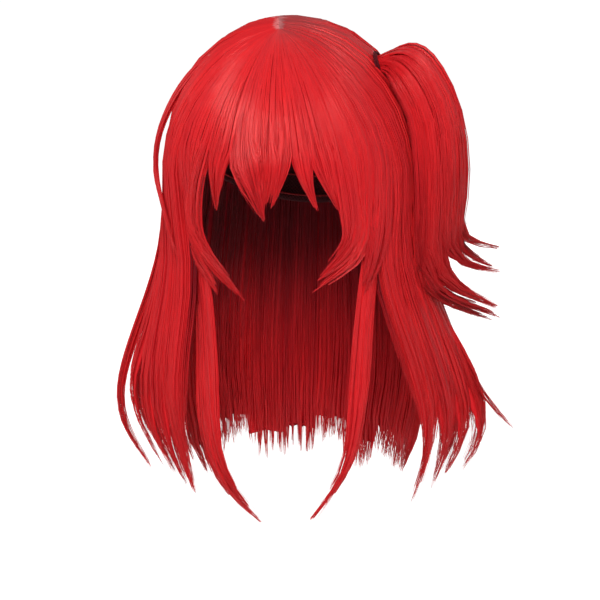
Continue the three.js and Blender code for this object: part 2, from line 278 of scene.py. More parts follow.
SIDE_LEFT = (
    (66, -112, 28, 18, (117, -40, -372), ((92, -40, -184), (126, -34, -311))),
    (77, -112, 28, 18, (123, -22, -381), ((99, -23, -180), (138, -14, -318))),
    (88, -112, 28, 18, (128, 0, -380), ((104, -3, -180), (149, 8, -325))),
    (99, -112, 26, 18, (139, 23, -380), ((105, 17, -186), (161, 27, -336))),
    (103, -112, 12, 10, (188, 25, -340), ((108, 22, -190), (158, 27, -310))),
    (68, -112, 8, 8, (108, -42, -394), ((93, -38, -190), (124, -35, -325))),
    (111, -112, 36, 18, (118, 42, -390), ((101, 40, -190), (136, 46, -320))),
)

# Free locks, in millimetres: width, depth and the points of the middle line, from the root to the tip.
FRONT_RIGHT = (27, 9, (
    (-74, -46, -104), (-68, -54, -150), (-57, -65, -218), (-51, -77, -274),
    (-46, -88, -325), (-30, -95, -366), (1, -100, -393)))
FRONT_LEFT = (19, 9, (
    (76, -42, -104), (80, -49, -150), (75, -58, -204), (74, -70, -251),
    (73, -82, -298), (67, -90, -344), (37, -98, -390)))
LOOSE_LOCK = (14, 6, (
    (-58, -36, -24), (-78, -33, -43), (-93, -31, -66), (-103, -30, -88),
    (-108, -30, -106), (-106, -32, -122), (-100, -40, -138), (-89, -58, -162),
    (-78, -65, -186)))

# The hair behind, in equal locks. The hip and the tip are shares of the dome at the lock's bearing.
BACK_BEARINGS = (123, 237)
BACK_COUNT = 8
BACK_LOCK = {"leave": -0.118, "width": 0.046, "depth": 0.018}
BACK_HIP = np.array((1.16, 0.9))
BACK_HIP_HEIGHT = -0.300
BACK_TIP = np.array((0.98, 0.76))
BACK_TIP_HEIGHT = -0.392
BACK_RAGGED = 0.012
BACK_RAGGED_STEP = 2.4

# The ponytail, in millimetres: points of its middle line with half-sizes sideways and fore and aft, and for
# each lock the turn about that line in degrees, a last bend and the tip.
TAIL_LINE = (
    ((64, -8, -33), 3, 3),
    ((78, -7, -28), 4.5, 4.5),
    ((93.5, -7, -30), 20.5, 18),
    ((117, -5, -66), 22, 22),
    ((123, -1, -126), 20, 20),
)
TAIL_END = ((126, 1, -190), (173, 0, -216))
TAIL_TIPS = (
    (0, (140, 2, -170), (176, 0, -179)),
    (60, (134, 12, -177), (171, 12, -198)),
    (120, (119, 12, -203), (168, 10, -230)),
    (180, (114, -3, -213), (172, -5, -238)),
    (225, (119, -11, -208), (180, -10, -234)),
    (270, (126, -14, -195), (177, -12, -226)),
    (315, (138, -11, -184), (181, -8, -196)),
)

# Each lock of the ponytail, in metres: the spans of its root, width and depth.
TAIL_LOCK = {"scalp_spans": 2, "width": 0.022, "depth": 0.0125}

# The tie: its middle, a point that it faces, its radius, the cord's half thickness, turns and pitch, and how
# far the turns sway along the ponytail, with the step between them.
TIE_AT = np.array((0.073, -0.007, -0.0295))
TIE_TOWARDS = np.array((0.100, -0.006, -0.022))
TIE_RADIUS = 0.0081
TIE_CORD = 0.0009
TIE_TURNS = 2
TIE_PITCH = 0.0017
TIE_SWAY = 0.0003
TIE_SWAY_STEP = 2.1

# How the locks of each group end. The taper is counted in spans back from the tip, with its power. Locks
# part, their bodies thin and their strands draw together at stations that count 1 where the lock leaves
# the scalp and 2 at the tip. A body ends short of the tip, unevenly by its ragged share, and the strands at
# a lock's edges are shorter by a share. Where a lock is narrow its clumps stray sideways by only a share.
# Relief, detail and fill multiply how far clumps rise and sink, the points of a strand and the strands.
# The spread is the power and the bunching at both ends by which points are spaced down a strand. Bends are
# softened over a length, and the inner face of a lock with painted shade takes the painted-shade columns of
# the map.
FRINGE_STYLE = {
    "taper": 1.7, "power": 1.15, "split": (1.0, 1.4, 1.0), "thin": 1.6, "end": 0.97, "ragged": 0,
    "gather": 1.3, "edge_cut": 0.12, "stray": 0.1, "relief": 0.35, "detail": 1, "fill": 1,
    "spread": (1, 0), "inner_shade_painted": 1, "soften": 0.010}
CHEEK_STYLE = {
    **FRINGE_STYLE, "power": 1.4, "split": (1.3, 1.75, 1.0), "thin": 1.65, "gather": 1.5, "edge_cut": 0.14,
    "stray": 0.3, "relief": 1.0, "detail": 1.4}
SIDE_STYLE = {
    **FRINGE_STYLE, "taper": 1.2, "power": 1.6, "split": (1.62, 1.95, 1.0), "thin": 1.72, "gather": 1.66,
    "stray": 0.6, "relief": 1.2, "spread": (0.75, 0), "soften": 0.022}
STRIP_STYLE = {**SIDE_STYLE, "taper": 2.0, "power": 1.4, "split": (1.5, 1.75, 1.0), "gather": 1.5}
BACK_STYLE = {
    **SIDE_STYLE, "taper": 0.5, "split": (1.9, 2.0, 0.0), "thin": 1.55, "end": 0.91, "ragged": 0.03,
    "gather": 1.92, "edge_cut": 0.0, "stray": 1.0}
TAIL_STYLE = {
    **SIDE_STYLE, "taper": 1.5, "split": (1.1, 1.85, 1.0), "thin": 1.7, "gather": 1.62, "edge_cut": 0.08,
    "relief": 2.0, "spread": (1, 0.09), "inner_shade_painted": 0, "soften": 0.014}
FREE_STYLE = {
    **FRINGE_STYLE, "taper": 3, "power": 1.6, "split": (0.0, 0.01, 1.0), "gather": 1.4, "stray": 0.3,
    "detail": 1.4, "inner_shade_painted": 0, "soften": 0.022}
WISP_STYLE = {
    **FREE_STYLE, "taper": 1.1, "power": 2.0, "edge_cut": 0.04, "detail": 2.2, "fill": 1.8,
    "spread": (0.75, 0)}
LOOSE_STYLE = {**FREE_STYLE, "taper": 7, "power": 1.2, "edge_cut": 0.04, "detail": 1.6, "fill": 1.5}

# The hanging length above which a lock of the fringe is a cheek lock, and the widths in the tables, in
# millimetres, up to which a lock of the sides is a wisp or a strip.
CHEEK_LENGTH = 0.085
WISP_WIDTH = 10
STRIP_WIDTH = 16

# Lights: name, azimuth and elevation in degrees, distance, side, and power as a multiple of the setting.
LIGHTS = (
    ("key_light", 13, 35, 1.4, 0.55, 1.18),
    ("left_light", -75, 20, 1.8, 0.9, 0.33),
    ("right_light", 85, 25, 1.8, 0.9, 0.1),
    ("back_light", 180, 5, 2.0, 1.0, 0.45),
)

# The camera, at the photograph's viewing angle: the point that it looks at, angles, distance and lens.
TARGET = Vector((0.0073, 0, -0.230))
AZIMUTH = math.radians(13)
ELEVATION = math.radians(13)
DISTANCE = 1.7
LENS = 122.4


class WigHairSettings(bpy.types.PropertyGroup):
    """Sizes and colours of the hair."""

    strand_radius: FloatProperty(
        name="Strand radius", description="Half thickness of a strand at its middle",
        default=0.0004, min=0.0001, max=0.002, precision=5, subtype="DISTANCE", unit="LENGTH")
    waviness: FloatProperty(
        name="Waviness", description="How far a strand strays from its lock towards the tip",
        default=0.0012, min=0, max=0.02, precision=5, subtype="DISTANCE", unit="LENGTH")
    clump_relief: FloatProperty(
        name="Clump relief", description="How far clumps of strands rise and sink beside each other",
        default=0.0006, min=0, max=0.01, precision=5, subtype="DISTANCE", unit="LENGTH")
    clump_wander: FloatProperty(
        name="Clump wander", description="How far clumps stray sideways towards their tips",
        default=0.0024, min=0, max=0.02, precision=5, subtype="DISTANCE", unit="LENGTH")
    shortest: FloatProperty(
        name="Shortest strand", description="Length of the shortest strand as a share of its lock",
        default=0.86, min=0.3, max=1, subtype="FACTOR")
    seed: IntProperty(name="Seed", description="Seed of all that is random in the hair", default=11, min=0)
    light_red: FloatVectorProperty(
        name="Light red", description="Colour of the lightest strands",
        default=(0.80, 0.015, 0.019), size=3, min=0, max=1, subtype="COLOR")
    dark_red: FloatVectorProperty(
        name="Dark red", description="Colour of the darkest strands",
        default=(0.54, 0.009, 0.017), size=3, min=0, max=1, subtype="COLOR")
    # Painted shade: the colour that the inner faces and the deep strands are darkened to, standing for the
    # shadow inside the wig.
    painted_shade_red: FloatVectorProperty(
        name="Inner red", description="Colour of the strands on the inside, towards the wearer",
        default=(0.15, 0.005, 0.012), size=3, min=0, max=1, subtype="COLOR")


class WigCapSettings(bpy.types.PropertyGroup):
    """Sizes and colours of the cap, the parting patch and the tie."""

    weft_rows: IntProperty(
        name="Sewn rows", description="Rows of sewn hair round the cap", default=11, min=2, max=30)
    weft_radius: FloatProperty(
        name="Row thickness", description="Half thickness of a sewn row",
        default=0.0008, min=0.0002, max=0.003, precision=5, subtype="DISTANCE", unit="LENGTH")
    net_colour: FloatVectorProperty(
        name="Net", description="Colour of the cap's net",
        default=(0.07, 0.003, 0.006), size=3, min=0, max=1, subtype="COLOR")
    skin_colour: FloatVectorProperty(
        name="Parting patch", description="Colour of the patch at the parting",
        default=(0.68, 0.34, 0.34), size=3, min=0, max=1, subtype="COLOR")
    tie_colour: FloatVectorProperty(
        name="Tie", description="Colour of the elastic round the ponytail",
        default=(0.06, 0.003, 0.006), size=3, min=0, max=1, subtype="COLOR")


class WigStageSettings(bpy.types.PropertyGroup):
    """Floor and light of the plain studio."""

    floor_drop: FloatProperty(
        name="Floor drop", description="Height of the floor below the lowest tip",
        default=0.15, min=0, max=2, subtype="DISTANCE", unit="LENGTH")
    floor_half: FloatProperty(
        name="Floor half-size", description="Half the side of the floor",
        default=14, min=1, max=50, subtype="DISTANCE", unit="LENGTH")
    surround: FloatProperty(
        name="Surround", description="Strength of the white light from all round", default=0.5, min=0, max=5)
    key_power: FloatProperty(
        name="Key light", description="Power that each light takes its multiple of",
        default=10.4, min=0, max=500, subtype="POWER", unit="POWER")
    floor_glow: FloatProperty(
        name="Floor glow", description="How much the pale floor shines of itself in the picture",
        default=0.6, min=0, max=2)


# Small helpers for nodes and meshes
def add(tree, kind, sockets=None, **settings):
    """A new node with its settings, and each socket set to a value or joined to another node's output."""
    made = tree.nodes.new(kind)
    for name, value in settings.items():
        setattr(made, name, value)
    for key, value in (sockets or {}).items():
        if isinstance(value, bpy.types.NodeSocket):
            tree.links.new(value, made.inputs[key])
        else:
            made.inputs[key].default_value = value
    return made


def math_node(tree, operation, *values):
    return add(tree, "ShaderNodeMath", dict(enumerate(values)), operation=operation).outputs[0]


def vector_math(tree, operation, *values):
    return add(tree, "ShaderNodeVectorMath", dict(enumerate(values)), operation=operation).outputs[0]


def scaled(tree, vector, factor):
    sockets = {"Vector": vector, "Scale": factor}
    return add(tree, "ShaderNodeVectorMath", sockets, operation="SCALE").outputs[0]


def ramp(tree, value, low, high, to_low=0.0, to_high=1.0, kind="SMOOTHSTEP"):
    sockets = {"Value": value, "From Min": low, "From Max": high, "To Min": to_low, "To Max": to_high}
    return add(tree, "ShaderNodeMapRange", sockets, interpolation_type=kind).outputs["Result"]


def mix_colour(tree, factor, first, second):
    return add(tree, "ShaderNodeMix", {0: factor, 6: first, 7: second}, data_type="RGBA").outputs[2]


def mix_value(tree, factor, first, second):
    return add(tree, "ShaderNodeMix", {0: factor, 2: first, 3: second}, data_type="FLOAT").outputs[0]


def noise(tree, place, scale, detail, **settings):
    sockets = {"Vector": place, "Scale": scale, "Detail": detail}
    return add(tree, "ShaderNodeTexNoise", sockets, **settings).outputs[0]


def new_tree(name, kind, inputs, outputs):
    """A node tree with its named inputs and outputs, and the sockets that give the inputs within it."""
    tree = bpy.data.node_groups.new(name, kind)
    for in_out, rows in (("INPUT", inputs), ("OUTPUT", outputs)):
        for label, socket in rows:
            tree.interface.new_socket(label, in_out=in_out, socket_type="NodeSocket" + socket)
    return tree, tree.nodes.new("NodeGroupInput").outputs


def finish_tubes(tree, tubes, material):
    """Ends a tree that makes tubes: smooth faces, no instances, and the material."""
    tubes = add(tree, "GeometryNodeSetShadeSmooth", {"Geometry": tubes}).outputs[0]
    tubes = add(tree, "GeometryNodeRealizeInstances", {"Geometry": tubes}).outputs[0]
    sockets = {"Geometry": tubes, "Material": material}
    tubes = add(tree, "GeometryNodeSetMaterial", sockets).outputs[0]
    add(tree, "NodeGroupOutput", {"Geometry": tubes})


def rgba(colour):
    return (*colour, 1.0)


def toned(colour, factor):
    """A colour made darker or lighter."""
    return rgba(factor * channel for channel in colour)


def mesh_object(name, points, faces, edges=()):
    mesh = bpy.data.meshes.new(name)
    mesh.from_pydata([tuple(point) for point in points], list(edges), faces)
    mesh.update()
    made = bpy.data.objects.new(name, mesh)
    bpy.context.scene.collection.objects.link(made)
    return made


def point_attribute(mesh, name, kind, values):
    attribute = mesh.attributes.new(name, kind, "POINT")
    attribute.data.foreach_set("vector" if kind == "FLOAT_VECTOR" else "value", np.ravel(values))


def finish_mesh(piece, material, corner_uv=None):
    """Gives a piece its map, if it has one, smooth faces and its material."""
    mesh = piece.data
    if corner_uv:
        layer = mesh.uv_layers.new(name=UV_NAME)
        layer.data.foreach_set("uv", np.asarray(corner_uv, dtype=np.float32).ravel())
    mesh.polygons.foreach_set("use_smooth", np.ones(len(mesh.polygons), dtype=bool))
    mesh.update()
    mesh.materials.append(material)
    return piece


def baked(piece):
    """Turns the piece's modifier into plain mesh."""
    graph = bpy.context.evaluated_depsgraph_get()
    mesh = bpy.data.meshes.new_from_object(
        piece.evaluated_get(graph), preserve_all_data_layers=True, depsgraph=graph)
    piece.modifiers.clear()
    guide = piece.data
    piece.data = mesh
    mesh.name = piece.name
    bpy.data.meshes.remove(guide)
    if not mesh.polygons:
        raise RuntimeError(f"{piece.name} came out empty")


def finish_piece(piece, slot, *nodes):
    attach(piece, BODY)
    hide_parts(*nodes)


# Locks: middle lines, frames and sections
def catmull_rom(control, places):
    """Points and tangents of a centripetal curve through the control points. Places count its spans."""
    control = np.asarray(control, dtype=float)
    padded = np.vstack((2 * control[0] - control[1], control, 2 * control[-1] - control[-2]))
    span = np.minimum(places.astype(int), len(control) - 2)
    share = (places - span)[:, None]
    before, start, end, after = (padded[span + step] for step in range(4))
    knot = [np.sqrt(np.linalg.norm(high - low, axis=1))[:, None]
            for low, high in ((before, start), (start, end), (end, after))]
    leave = (start - before) / knot[0] - (end - before) / (knot[0] + knot[1]) + (end - start) / knot[1]
    arrive = (end - start) / knot[1] - (after - start) / (knot[1] + knot[2]) + (after - end) / knot[2]
    leave = leave * knot[1]
    arrive = arrive * knot[1]
    square = 3 * (end - start) - 2 * leave - arrive
    cube = 2 * (start - end) + leave + arrive
    point = start + share * (leave + share * (square + share * cube))
    tangent = leave + share * (2 * square + 3 * share * cube)
    return point, unit(tangent)


def metres(lengths):
    return np.array(lengths) / MM_IN_METRE


def unit(vectors):
    return vectors / np.linalg.norm(vectors, axis=-1, keepdims=True)


def smoothstep(value, low, high):
    share = np.clip((value - low) / (high - low), 0, 1)
    return share * share * (3 - 2 * share)


def root_direction(bearing):
    share = smoothstep(abs(bearing), *PARTING_BEARINGS)
    flat = ((1 - share) * PARTING_FRONT + share * PARTING_BACK) / DOME[:2]
    return np.array((*flat, math.sqrt(1 - flat @ flat)))


def direction_at(bearing, height):
    rise = (height - DOME_MIDDLE) / DOME[2]
    level = math.sqrt(1 - rise * rise)
    angle = math.radians(bearing)
    return np.array((math.sin(angle) * level, -math.cos(angle) * level, rise))


def dome_points(bearing, height):
    """Points over the dome from the parting to where a lock leaves it."""
    root = root_direction(bearing)
    leave = direction_at(bearing, height)
    angle = math.acos(root @ leave)
    on_dome = [(math.sin((1 - share) * angle) * root + math.sin(share * angle) * leave) / math.sin(angle)
               for share in SCALP_SHARES]
    return [DOME * direction + (0, 0, DOME_MIDDLE) for direction in on_dome]


def outward_from_head(point, _along):
    """Away from the wearer: the dome's normal, level from its widest height down."""
    rise = np.maximum(0, point[:, 2] - DOME_MIDDLE) / DOME[2] ** 2
    return unit(np.column_stack((point[:, 0] / DOME[0] ** 2, point[:, 1] / DOME[1] ** 2, rise)))


def tail_line():
    return [metres(point) for point in (*(row[0] for row in TAIL_LINE), *TAIL_END)]


def outward_from_tail(point, along):
    """Away from the ponytail's middle line at the same share of the way down."""
    line = tail_line()
    middle, _ = catmull_rom(line, along * (len(line) - 1))
    return unit(point - middle)


def soft_line(control, soften):
    """Places and points of a lock's line, with its bends rounded by averaging along its length."""
    places = np.linspace(0, len(control) - 1, LINE_STEPS)
    point, _ = catmull_rom(control, places)
    lengths = np.concatenate(([0], np.cumsum(np.linalg.norm(np.diff(point, axis=0), axis=1))))
    reach = np.minimum(soften, np.minimum(lengths, lengths[-1] - lengths))
    soft = np.zeros_like(point)
    for share in np.linspace(-1, 1, BEND_SAMPLES):
        soft += along_line(lengths + share * reach, lengths, point)
    return places, soft / BEND_SAMPLES


def along_line(values, steps, rows):
    """Rows of vectors at some values, between the steps at which they are known."""
    return np.column_stack([np.interp(values, steps, column) for column in rows.T])


def make_lock(control, scalp_spans, width, depth, style, outward=outward_from_head, on_scalp=False):
    """A lock with the distances down its hanging part, counted from where it leaves the scalp."""
    places, line = soft_line(control, style["soften"])
    tangents = unit(np.gradient(line, axis=0))
    hanging = np.linspace(scalp_spans, len(control) - 1, LINE_STEPS)
    steps = np.linalg.norm(np.diff(along_line(hanging, places, line), axis=0), axis=1)
    distances = np.concatenate(([0], np.cumsum(steps)))
    return {"places": places, "line": line, "tangents": tangents, "spans": len(control) - 1,
            "scalp_spans": scalp_spans, "width": width, "depth": depth, **style, "outward": outward,
            "on_scalp": on_scalp, "hanging": hanging, "distances": distances}


def scalp_lock(bearing, leave, width, depth, tip, bends, style):
    control = [*dome_points(bearing, leave), *bends, tip]
    return make_lock(control, len(SCALP_SHARES) - 1, width, depth, style, on_scalp=True)


def table_lock(row, style):
    """A lock that starts on the scalp, from its row of a table."""
    bearing, *sizes, tip, bends = row
    sizes = [size / MM_IN_METRE for size in sizes]
    return scalp_lock(bearing, *sizes, metres(tip), [metres(point) for point in bends], style)


def free_lock(row, style=FREE_STYLE):
    """A lock that hangs free, from its table."""
    width, depth, points = row
    line = [metres(point) for point in points]
    return make_lock(line, 1, width / MM_IN_METRE, depth / MM_IN_METRE, style)


def back_locks():
    locks = []
    for number, bearing in enumerate(np.linspace(*BACK_BEARINGS, BACK_COUNT)):
        angle = math.radians(bearing)
        level = DOME[:2] * (math.sin(angle), -math.cos(angle))
        ragged = BACK_RAGGED * math.sin(number * BACK_RAGGED_STEP)
        hip = (*(level * BACK_HIP), BACK_HIP_HEIGHT)
        tip = (*(level * BACK_TIP), BACK_TIP_HEIGHT + ragged)
        locks.append(scalp_lock(bearing, tip=tip, bends=(hip,), style=BACK_STYLE, **BACK_LOCK))
    return locks


def tail_locks():
    locks = []
    middle, along = catmull_rom(tail_line(), np.arange(float(len(TAIL_LINE))))
    for turn, bend, tip in TAIL_TIPS:
        angle = math.radians(turn)
        around = []
        for (_, *halves), at, way in zip(TAIL_LINE, middle, along):
            side, deep = metres(halves)
            upper = unit(np.array((-way[2], 0, way[0])))
            around.append(at + upper * side * math.cos(angle) + (0, deep * math.sin(angle), 0))
        line = [*around, metres(bend), metres(tip)]
        locks.append(make_lock(line, style=TAIL_STYLE, outward=outward_from_tail, **TAIL_LOCK))
    return locks


def room_inward(point, out):
    """How far a lock can reach in from each point before it meets the cap."""
    half = HEAD + CAP_WALL + SCALP_CLEAR
    start = (point + (0, 0, HEAD[2])) / half
    way = -out / half
    along = np.sum(start * way, axis=1)
    size = np.sum(way * way, axis=1)
    reach = along ** 2 - size * (np.sum(start * start, axis=1) - 1)
    meets = (reach > 0) & (along < 0)
    return np.where(meets, (-along - np.sqrt(np.maximum(reach, 0))) / size, np.inf)


def lock_frame(lock, places):
    """Middle line, sideways and outward directions, half-width, crown and depth at each place."""
    spans = lock["spans"]
    point = along_line(places, lock["places"], lock["line"])
    tangent = unit(along_line(places, lock["places"], lock["tangents"]))
    across = unit(np.cross(lock["outward"](point, places / spans), tangent))
    out = np.cross(tangent, across)
    opened = np.sin(math.pi / 2 * np.minimum(1, places / lock["scalp_spans"]))
    hung = np.clip(places - lock["scalp_spans"], 0, 1)
    taper_start = spans - lock["taper"]
    taper = 1 - np.maximum(0, (places - taper_start) / lock["taper"]) ** lock["power"]
    spread = (ROOT_SHARE + (1 - ROOT_SHARE) * opened) * (TIP_SHARE + (1 - TIP_SHARE) * taper)
    depth = lock["depth"] * spread * (1 + (HANG_SHARE - 1) * hung)
    crown = min(CROWN_HEIGHT, lock["width"] * CROWN_SHARE) * spread
    if lock["on_scalp"]:
        sink = 1 - smoothstep(places, 0, ROOT_SINK_SPANS)
        point = point - out * (ROOT_SINK * sink)[:, None]
    deep = np.maximum(MIN_DEPTH, np.minimum(depth, room_inward(point, out)))
    return {"point": point, "side": across, "out": out, "half": lock["width"] / 2 * spread,
            "crown": crown, "deep": deep}


# Stations along a lock: shares up to 1 lie on its root spans, and those up to 2 hang below
def stations(lock, shares, reach=None):
    """Places along a lock. Its hanging part is measured by length, or by that of another lock."""
    distances = (shares - 1) * (reach or lock["distances"][-1])
    hanging = np.interp(distances, lock["distances"], lock["hanging"])
    return np.where(shares < 1, shares * lock["scalp_spans"], hanging)


def split_at(lock, shares):
    """0 where a lock lies as one with those beside it, rising to its most where it hangs apart."""
    start, end, most = lock["split"]
    return most * smoothstep(shares, start, end)


def across_lock(locks, closed, number, across, shares):
    """The frame at a share across a lock, which lies as one with the lock beside it until either parts."""
    lock = locks[number]
    cut = lock_frame(lock, stations(lock, shares))
    cut["middle"] = cut["point"]
    cut["split"] = split_at(lock, shares)
    cut["free"] = False
    cut["width"] = 2 * cut["half"]
    apart = cut["point"] + cut["side"] * (cut["half"] * across)[:, None]
    beside = number + (1 if np.sum(across) > 0 else -1)
    if closed:
        beside %= len(locks)
    if not 0 <= beside < len(locks):
        return {**cut, "point": apart, "free": True}
    length = lock["distances"][-1]
    near = locks[beside]
    other = lock_frame(near, stations(near, shares, length))
    other_shares = np.where(shares < 1, shares, 1 + (shares - 1) * length / near["distances"][-1])
    cut["split"] = np.maximum(cut["split"], split_at(near, other_shares))
    step = other["point"] - cut["point"]
    joined = cut["point"] + step * (abs(across) / 2)[:, None]
    shared = (abs(across) / 2 * (1 - cut["split"]))[:, None]
    split = cut["split"][:, None]
    cut["point"] = apart * split + joined * (1 - split)
    cut["side"] = unit(cut["side"] + (other["side"] - cut["side"]) * shared)
    cut["out"] = unit(cut["out"] + (other["out"] - cut["out"]) * shared)
    cut["width"] = cut["width"] * cut["split"] + np.linalg.norm(step, axis=1) * (1 - cut["split"])
    return cut


# Bodies: a smooth closed form under the strands of each lock
def body_section():
    """Shares sideways round the section, first over the outer face and then back over the inner one."""
    sweep = np.linspace(-1, 1, BODY_SIDES // 2)
    return [(share, True) for share in sweep] + [(share * BODY_INNER_NARROW, False) for share in sweep[::-1]]


def body_rings(locks, closed, number, random):
    """The points of a body, ring by ring from its root to its tip."""
    lock = locks[number]
    half = BODY_SIDES // 2
    ragged = random.uniform(0, lock["ragged"], half)
    columns = []
    for side, (share, outer) in enumerate(body_section()):
        end = 1 + lock["end"] - ragged[side if outer else BODY_SIDES - 1 - side]
        shares = np.linspace(BODY_START, end, BODY_RINGS)
        thin = 1 - (1 - BODY_THIN) * smoothstep(shares, lock["thin"], end)
        own = split_at(lock, shares)
        across = share * (BODY_OVERLAP + (BODY_NARROW - BODY_OVERLAP) * own)
        cut = across_lock(locks, closed, number, across, shares)
        if cut["free"]:
            cut = across_lock(locks, closed, number, share * np.full(BODY_RINGS, BODY_FREE), shares)
        crown = cut["crown"] * cut["split"] * thin
        deep = cut["deep"] * thin
        inset = np.minimum(BODY_INSET, BODY_INSET_MOST * (crown + deep))
        room = np.maximum(BODY_LEAST, deep - 2 * inset)
        rise = (crown * (1 - share ** 2) if outer else -room * (1 - abs(share) * cut["split"])) - inset
        narrow = 1 - (1 - thin) * cut["split"]
        point = cut["middle"] + (cut["point"] - cut["middle"]) * narrow[:, None]
        columns.append(point + cut["out"] * rise[:, None])
    return np.stack(columns, axis=1)


def face_columns(side, inner_shade_painted):
    """Columns of the map at both edges of a face round a ring, the last ones for an inner face in painted
    shade.
    """
    last = BODY_SIDES // 2 - 1
    if side < last:
        return side / last * OUTER_COLUMNS, (side + 1) / last * OUTER_COLUMNS
    if side == last:
        return OUTER_COLUMNS - RIGHT_EDGE[0], OUTER_COLUMNS - RIGHT_EDGE[1]
    if side == BODY_SIDES - 1:
        return LEFT_EDGE
    low = (side - last - 1) / last
    high = (side - last) / last
    if inner_shade_painted:
        inner = LOCK_COLUMNS - OUTER_COLUMNS
        return OUTER_COLUMNS + low * inner, OUTER_COLUMNS + high * inner
    return OUTER_COLUMNS * (1 - low), OUTER_COLUMNS * (1 - high)


def make_bodies(name, sheets, closed, material):
    """A closed body for each lock, all in one piece."""
    random = np.random.default_rng(bpy.context.scene.wig_hair.seed)
    points = []
    faces = []
    corner_uv = []
    sides = BODY_SIDES
    root_row = ROOT_END_ROWS / BODY_RINGS
    end = (BODY_RINGS - 1) / BODY_RINGS
    rows = [(sheet, number) for sheet in sheets for number in range(len(sheet))]
    for column, (sheet, number) in enumerate(rows):
        rings = body_rings(sheet, closed, number, random)
        first = len(points)
        points.extend(rings.reshape(-1, 3))
        points.append(rings[0].mean(axis=0))
        points.append(rings[-1].mean(axis=0))
        root = len(points) - 2
        tip = len(points) - 1
        top = first + (BODY_RINGS - 1) * sides
        for side in range(sides):
            after = (side + 1) % sides
            left, right = ((column * LOCK_COLUMNS + share) / MAP_COLUMNS
                           for share in face_columns(side, sheet[number]["inner_shade_painted"]))
            for ring in range(BODY_RINGS - 1):
                low = first + ring * sides
                high = low + sides
                faces.append((low + side, low + after, high + after, high + side))
                below = ring / BODY_RINGS
                above = (ring + 1) / BODY_RINGS
                corner_uv.extend(((left, below), (right, below), (right, above), (left, above)))
            faces.append((root, first + after, first + side))
            corner_uv.extend(((left, 0), (right, root_row), (left, root_row)))
            faces.append((tip, top + side, top + after))
            corner_uv.extend(((left, 1), (left, end), (right, end)))
    return finish_mesh(mesh_object(name, points, faces), material, corner_uv)


# Strands: clumps as guides with attributes, and the tree that spreads strands round them
def slow_wave(random, shares):
    """A slow random wave along a clump, within 1 either way."""
    wave = np.zeros_like(shares)
    for turns, size in WAVES:
        rate = turns * random.uniform(*WAVE_RATES)
        wave += size * np.sin(2 * math.pi * (rate * shares + random.uniform()))
    return wave


def make_clump(locks, closed, number, across, count, points, random):
    """Middle line of one clump, at a share across its lock, and what spreads strands round it."""
    hair = bpy.context.scene.wig_hair
    lock = locks[number]
    length = 1 - random.uniform(0, CLUMP_CUT) - lock["edge_cut"] * across ** 2
    power, bunch = lock["spread"]
    steps = np.linspace(0, 1, round(points[1] * lock["detail"]))
    below = steps ** power - bunch * np.sin(2 * math.pi * steps)
    shares = np.concatenate((np.linspace(0, 1, points[0], endpoint=False), 1 + length * below))
    cut = across_lock(locks, closed, number, np.full(len(shares), across), shares)
    relief = hair.clump_relief * lock["relief"] * slow_wave(random, shares)
    relief = relief * smoothstep(shares, *RELIEF_STATIONS)
    narrow = np.minimum(1, cut["half"] / STRAY_HALF)
    wander = hair.clump_wander * slow_wave(random, shares) * (shares / 2) ** 2
    wander = wander * (lock["stray"] + (1 - lock["stray"]) * narrow)
    rise = cut["crown"] * (1 - across ** 2) * cut["split"] + relief
    point = cut["point"] + cut["side"] * wander[:, None] + cut["out"] * rise[:, None]
    near_tip = smoothstep(shares, lock["gather"], 1 + length)
    half = np.maximum(CLUMP_LEAST, CLUMP_OVERLAP * cut["width"] / count) * (1 - (1 - CLUMP_TIP) * near_tip)
    full = smoothstep(shares, *OWN_DEPTH_STATIONS)
    deep = np.minimum(cut["deep"], SCALP_DEPTH) * (1 - full) + cut["deep"] * full
    deep = deep * (1 - abs(across) * cut["split"])
    edge = float(cut["free"] and lock["inner_shade_painted"] and abs(across) > 1 - 2 / count)
    return {"point": point, "side": cut["side"], "out": cut["out"], "half": half, "deep": deep, "edge": edge}


# What a guide carries at each point, and the kinds of those that aren't plain numbers.
GUIDE_VALUES = ("side", "out", "half", "deep", "lock", "near", "edge", "inner_shade_painted", "strands")
GUIDE_KINDS = {"side": "FLOAT_VECTOR", "out": "FLOAT_VECTOR", "strands": "INT"}


def make_guides(name, sheets, strands, points_along, closed):
    """The middle lines of all clumps as edges, with the values that spread strands round them."""
    random = np.random.default_rng(bpy.context.scene.wig_hair.seed)
    points = []
    edges = []
    values = {key: [] for key in GUIDE_VALUES}
    whole = sum(lock["width"] for sheet in sheets for lock in sheet)
    lock_number = 0
    for sheet in sheets:
        for number, lock in enumerate(sheet):
            count = max(2, round(lock["width"] / CLUMP_WIDTH))
            each = max(2, round(strands * lock["fill"] * lock["width"] / whole / count))
            for clump in range(count):
                across = (2 * clump + 1 + CLUMP_JITTER * random.uniform(-1, 1)) / count - 1
                made = make_clump(sheet, closed, number, across, count, points_along, random)
                first = len(points)
                length = len(made["point"])
                points.extend(made["point"])
                edges.extend((first + step, first + step + 1) for step in range(length - 1))
                for key in ("side", "out", "half", "deep"):
                    values[key].extend(made[key])
                # Whether the lock's deep strands take painted shade goes with each clump.
                whole_clump = {
                    "lock": lock_number, "near": (across + 1) / 2, "edge": made["edge"],
                    "inner_shade_painted": float(lock["inner_shade_painted"]), "strands": each * (2 if made["edge"] else 1)}
                for key, value in whole_clump.items():
                    values[key].extend([value] * length)
            lock_number += 1
    piece = mesh_object(name, points, [], edges)
    for key, rows in values.items():
        point_attribute(piece.data, key, GUIDE_KINDS.get(key, "FLOAT"), np.array(rows))
    return piece


# Inputs of the strand tree and their kinds.
STRAND_INPUTS = (
    ("Geometry", "Geometry"),
    ("Strand Radius", "Float"),
    ("Waviness", "Float"),
    ("Shortest", "Float"),
    ("Thin From", "Float"),
    ("Seed", "Int"),
    ("Material", "Material"),
)


